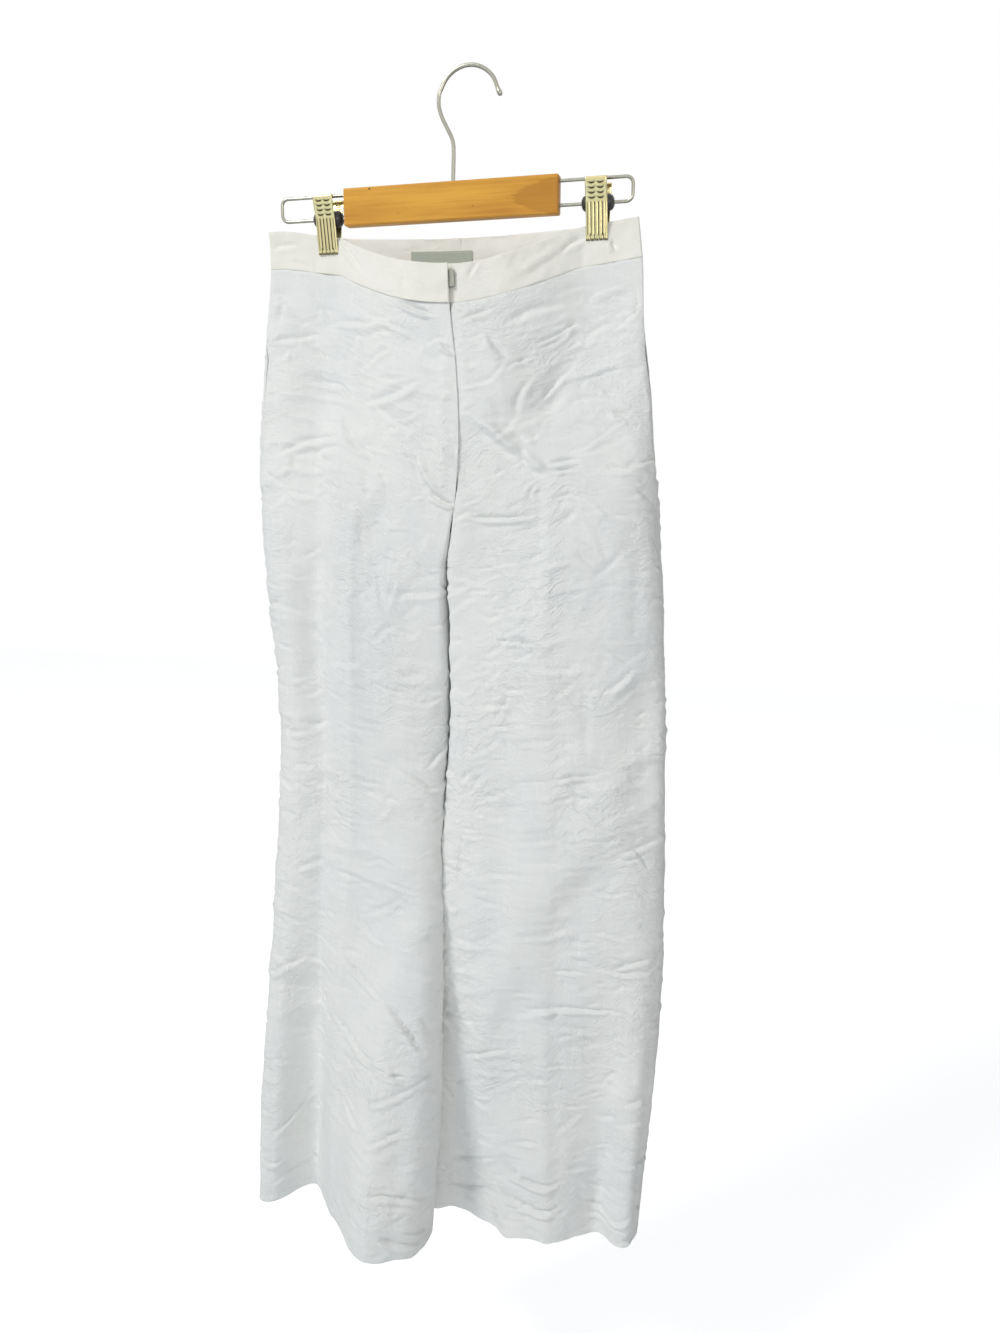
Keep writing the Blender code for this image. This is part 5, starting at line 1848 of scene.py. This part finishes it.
def onCloth(leg, face, u, drop, out):
    u, drop = np.atleast_2d(u).astype(float), np.atleast_2d(drop).astype(float)
    points = panelPoints(leg, face, u, drop, out)[0]
    return points, outward(leg, face, u, drop)[0]


sewing = {
    "tackU": (0.006, 0.031),
    "tack": {"Spacing": 0.55 * mm, "Length": 2.6 * mm, "Radius": 0.3 * mm},
    "stitch": {"Spacing": 2.6 * mm, "Length": 2.0 * mm, "Radius": 0.2 * mm},
    "clear": 0.1 * mm,
}


def makeTacks():
    u = np.linspace(*sewing["tackU"], 8)
    for leg in legSections:
        paths, ups = [], []
        for drop in pocket["mouth"]:
            points, up = onCloth(leg, "front", u, np.full_like(u, drop), cloth["thick"] / 2)
            paths.append(points)
            ups.append(up)
        made = beadRow(f"pocket_tacks_{leg}", paths, ups, sewing["tack"], math.pi / 2, sewingThread)
        finished(made, "linen")


def makeZipCoil():
    paths, ups = [], []
    start, end = zipper["drops"]
    drops = np.linspace(start + 2 * mm, end - 3 * mm, 60)
    out = zipper["out"] + zipper["wall"] / 2 + sewing["clear"]
    for aside in (-zipper["coilApart"], zipper["coilApart"]):
        paths.append(middlePoints("front", zipper["centre"] + aside, drops, out))
        ups.append(np.tile([0.0, -1.0, 0.0], (len(drops), 1)))
    made = beadRow("zip_coil", paths, ups, zipper["coil"], math.pi / 2, zipTape)
    finished(made, "zip_tape")


def makeLabelStitches():
    (left, right), (top, bottom) = label["edges"], label["drops"]
    inset = label["inset"]
    across = np.linspace(left + inset, right - inset, 40)
    out = label["out"] - label["thick"] / 2 - sewing["clear"]
    paths, ups = [], []
    for drop in (top + inset, bottom - inset):
        paths.append(middlePoints("back", across, drop, out))
        ups.append(np.tile([0.0, -1.0, 0.0], (len(across), 1)))
    made = beadRow("label_stitches", paths, ups, sewing["stitch"], 0.0, sewingThread)
    finished(made, "label_satin")


makeTacks()
makeZipCoil()
makeLabelStitches()
print("sewing made")

studio = {
    "floorZ": -1.42,
    "floorSize": 8.0,
    "floorGlow": 0.62,  # seen by the camera alone
    "key": {"place": (-1.6, -1.95, 1.9), "aim": (0.0, 0.0, -0.95), "size": 1.0, "power": 57,
            "colour": (1.0, 0.985, 0.955)},
    "fill": {"place": (1.2, -2.1, -0.12), "aim": (0.0, 0.0, -0.5), "size": 1.0, "power": 9.5,
             "colour": (1.0, 0.98, 0.93)},
    "low": {"place": (-0.7, -2.0, -1.2), "aim": (0.0, 0.0, -0.95), "size": 1.2, "power": 4.0,
            "colour": (0.55, 0.78, 1.0)},
    "ambient": 0.33,
    "ambientColour": (0.93, 0.97, 1.0, 1),
}


def makeFloor():
    half = studio["floorSize"] / 2
    z = studio["floorZ"]
    mesh = bpy.data.meshes.new("floor")
    corners = [(-half, -half, z), (half, -half, z), (half, half, z), (-half, half, z)]
    mesh.from_pydata(corners, [], [(0, 1, 2, 3)])
    made, tree, shader = newMaterial("paleFloor")
    place = addNode(tree, "ShaderNodeTexCoord")
    clouds = cloudOf(tree, place, "Object", (3, 3, 3))
    tone = blended(tree, clouds, (0.93, 0.93, 0.93), (0.95, 0.95, 0.95))
    tree.links.new(tone, shader.inputs["Base Color"])
    shader.inputs["Roughness"].default_value = 0.9
    path = addNode(tree, "ShaderNodeLightPath")
    glow = blended(tree, path.outputs["Is Camera Ray"], (0.0, 0.0, 0.0), (1.0, 1.0, 1.0))
    tree.links.new(glow, shader.inputs["Emission Color"])
    shader.inputs["Emission Strength"].default_value = studio["floorGlow"]
    mesh.materials.append(made)
    floor = bpy.data.objects.new("floor", mesh)
    bpy.context.scene.collection.objects.link(floor)


def makeLight(name, look):
    data = bpy.data.lights.new(name, "AREA")
    data.shape = "DISK"
    data.size = look["size"]
    data.energy = look["power"]
    data.color = look["colour"]
    made = bpy.data.objects.new(name, data)
    made.location = look["place"]
    aim = Vector(look["aim"]) - Vector(look["place"])
    made.rotation_euler = aim.to_track_quat("-Z", "Y").to_euler()
    bpy.context.scene.collection.objects.link(made)


def makeWorld():
    world = bpy.data.worlds.new("studio")
    world.use_nodes = True
    tree = world.node_tree
    shade = tree.nodes["Background"]
    shade.inputs["Color"].default_value = studio["ambientColour"]
    seen = addNode(tree, "ShaderNodeBackground")
    seen.inputs["Color"].default_value = (1, 1, 1, 1)
    seen.inputs["Strength"].default_value = 1.0
    shade.inputs["Strength"].default_value = studio["ambient"]
    path = addNode(tree, "ShaderNodeLightPath")
    both = addNode(tree, "ShaderNodeMixShader")
    bright = combined(tree, "MAXIMUM", path.outputs["Is Camera Ray"], path.outputs["Is Glossy Ray"])
    tree.links.new(bright, both.inputs[0])
    join(tree, shade, "Background", both, 1)
    join(tree, seen, "Background", both, 2)
    join(tree, both, "Shader", tree.nodes["World Output"], "Surface")
    bpy.context.scene.world = world


makeFloor()
for name in ("key", "fill", "low"):
    makeLight(name, studio[name])
makeWorld()
bpy.context.scene.view_settings.view_transform = "Standard"
print("studio made")
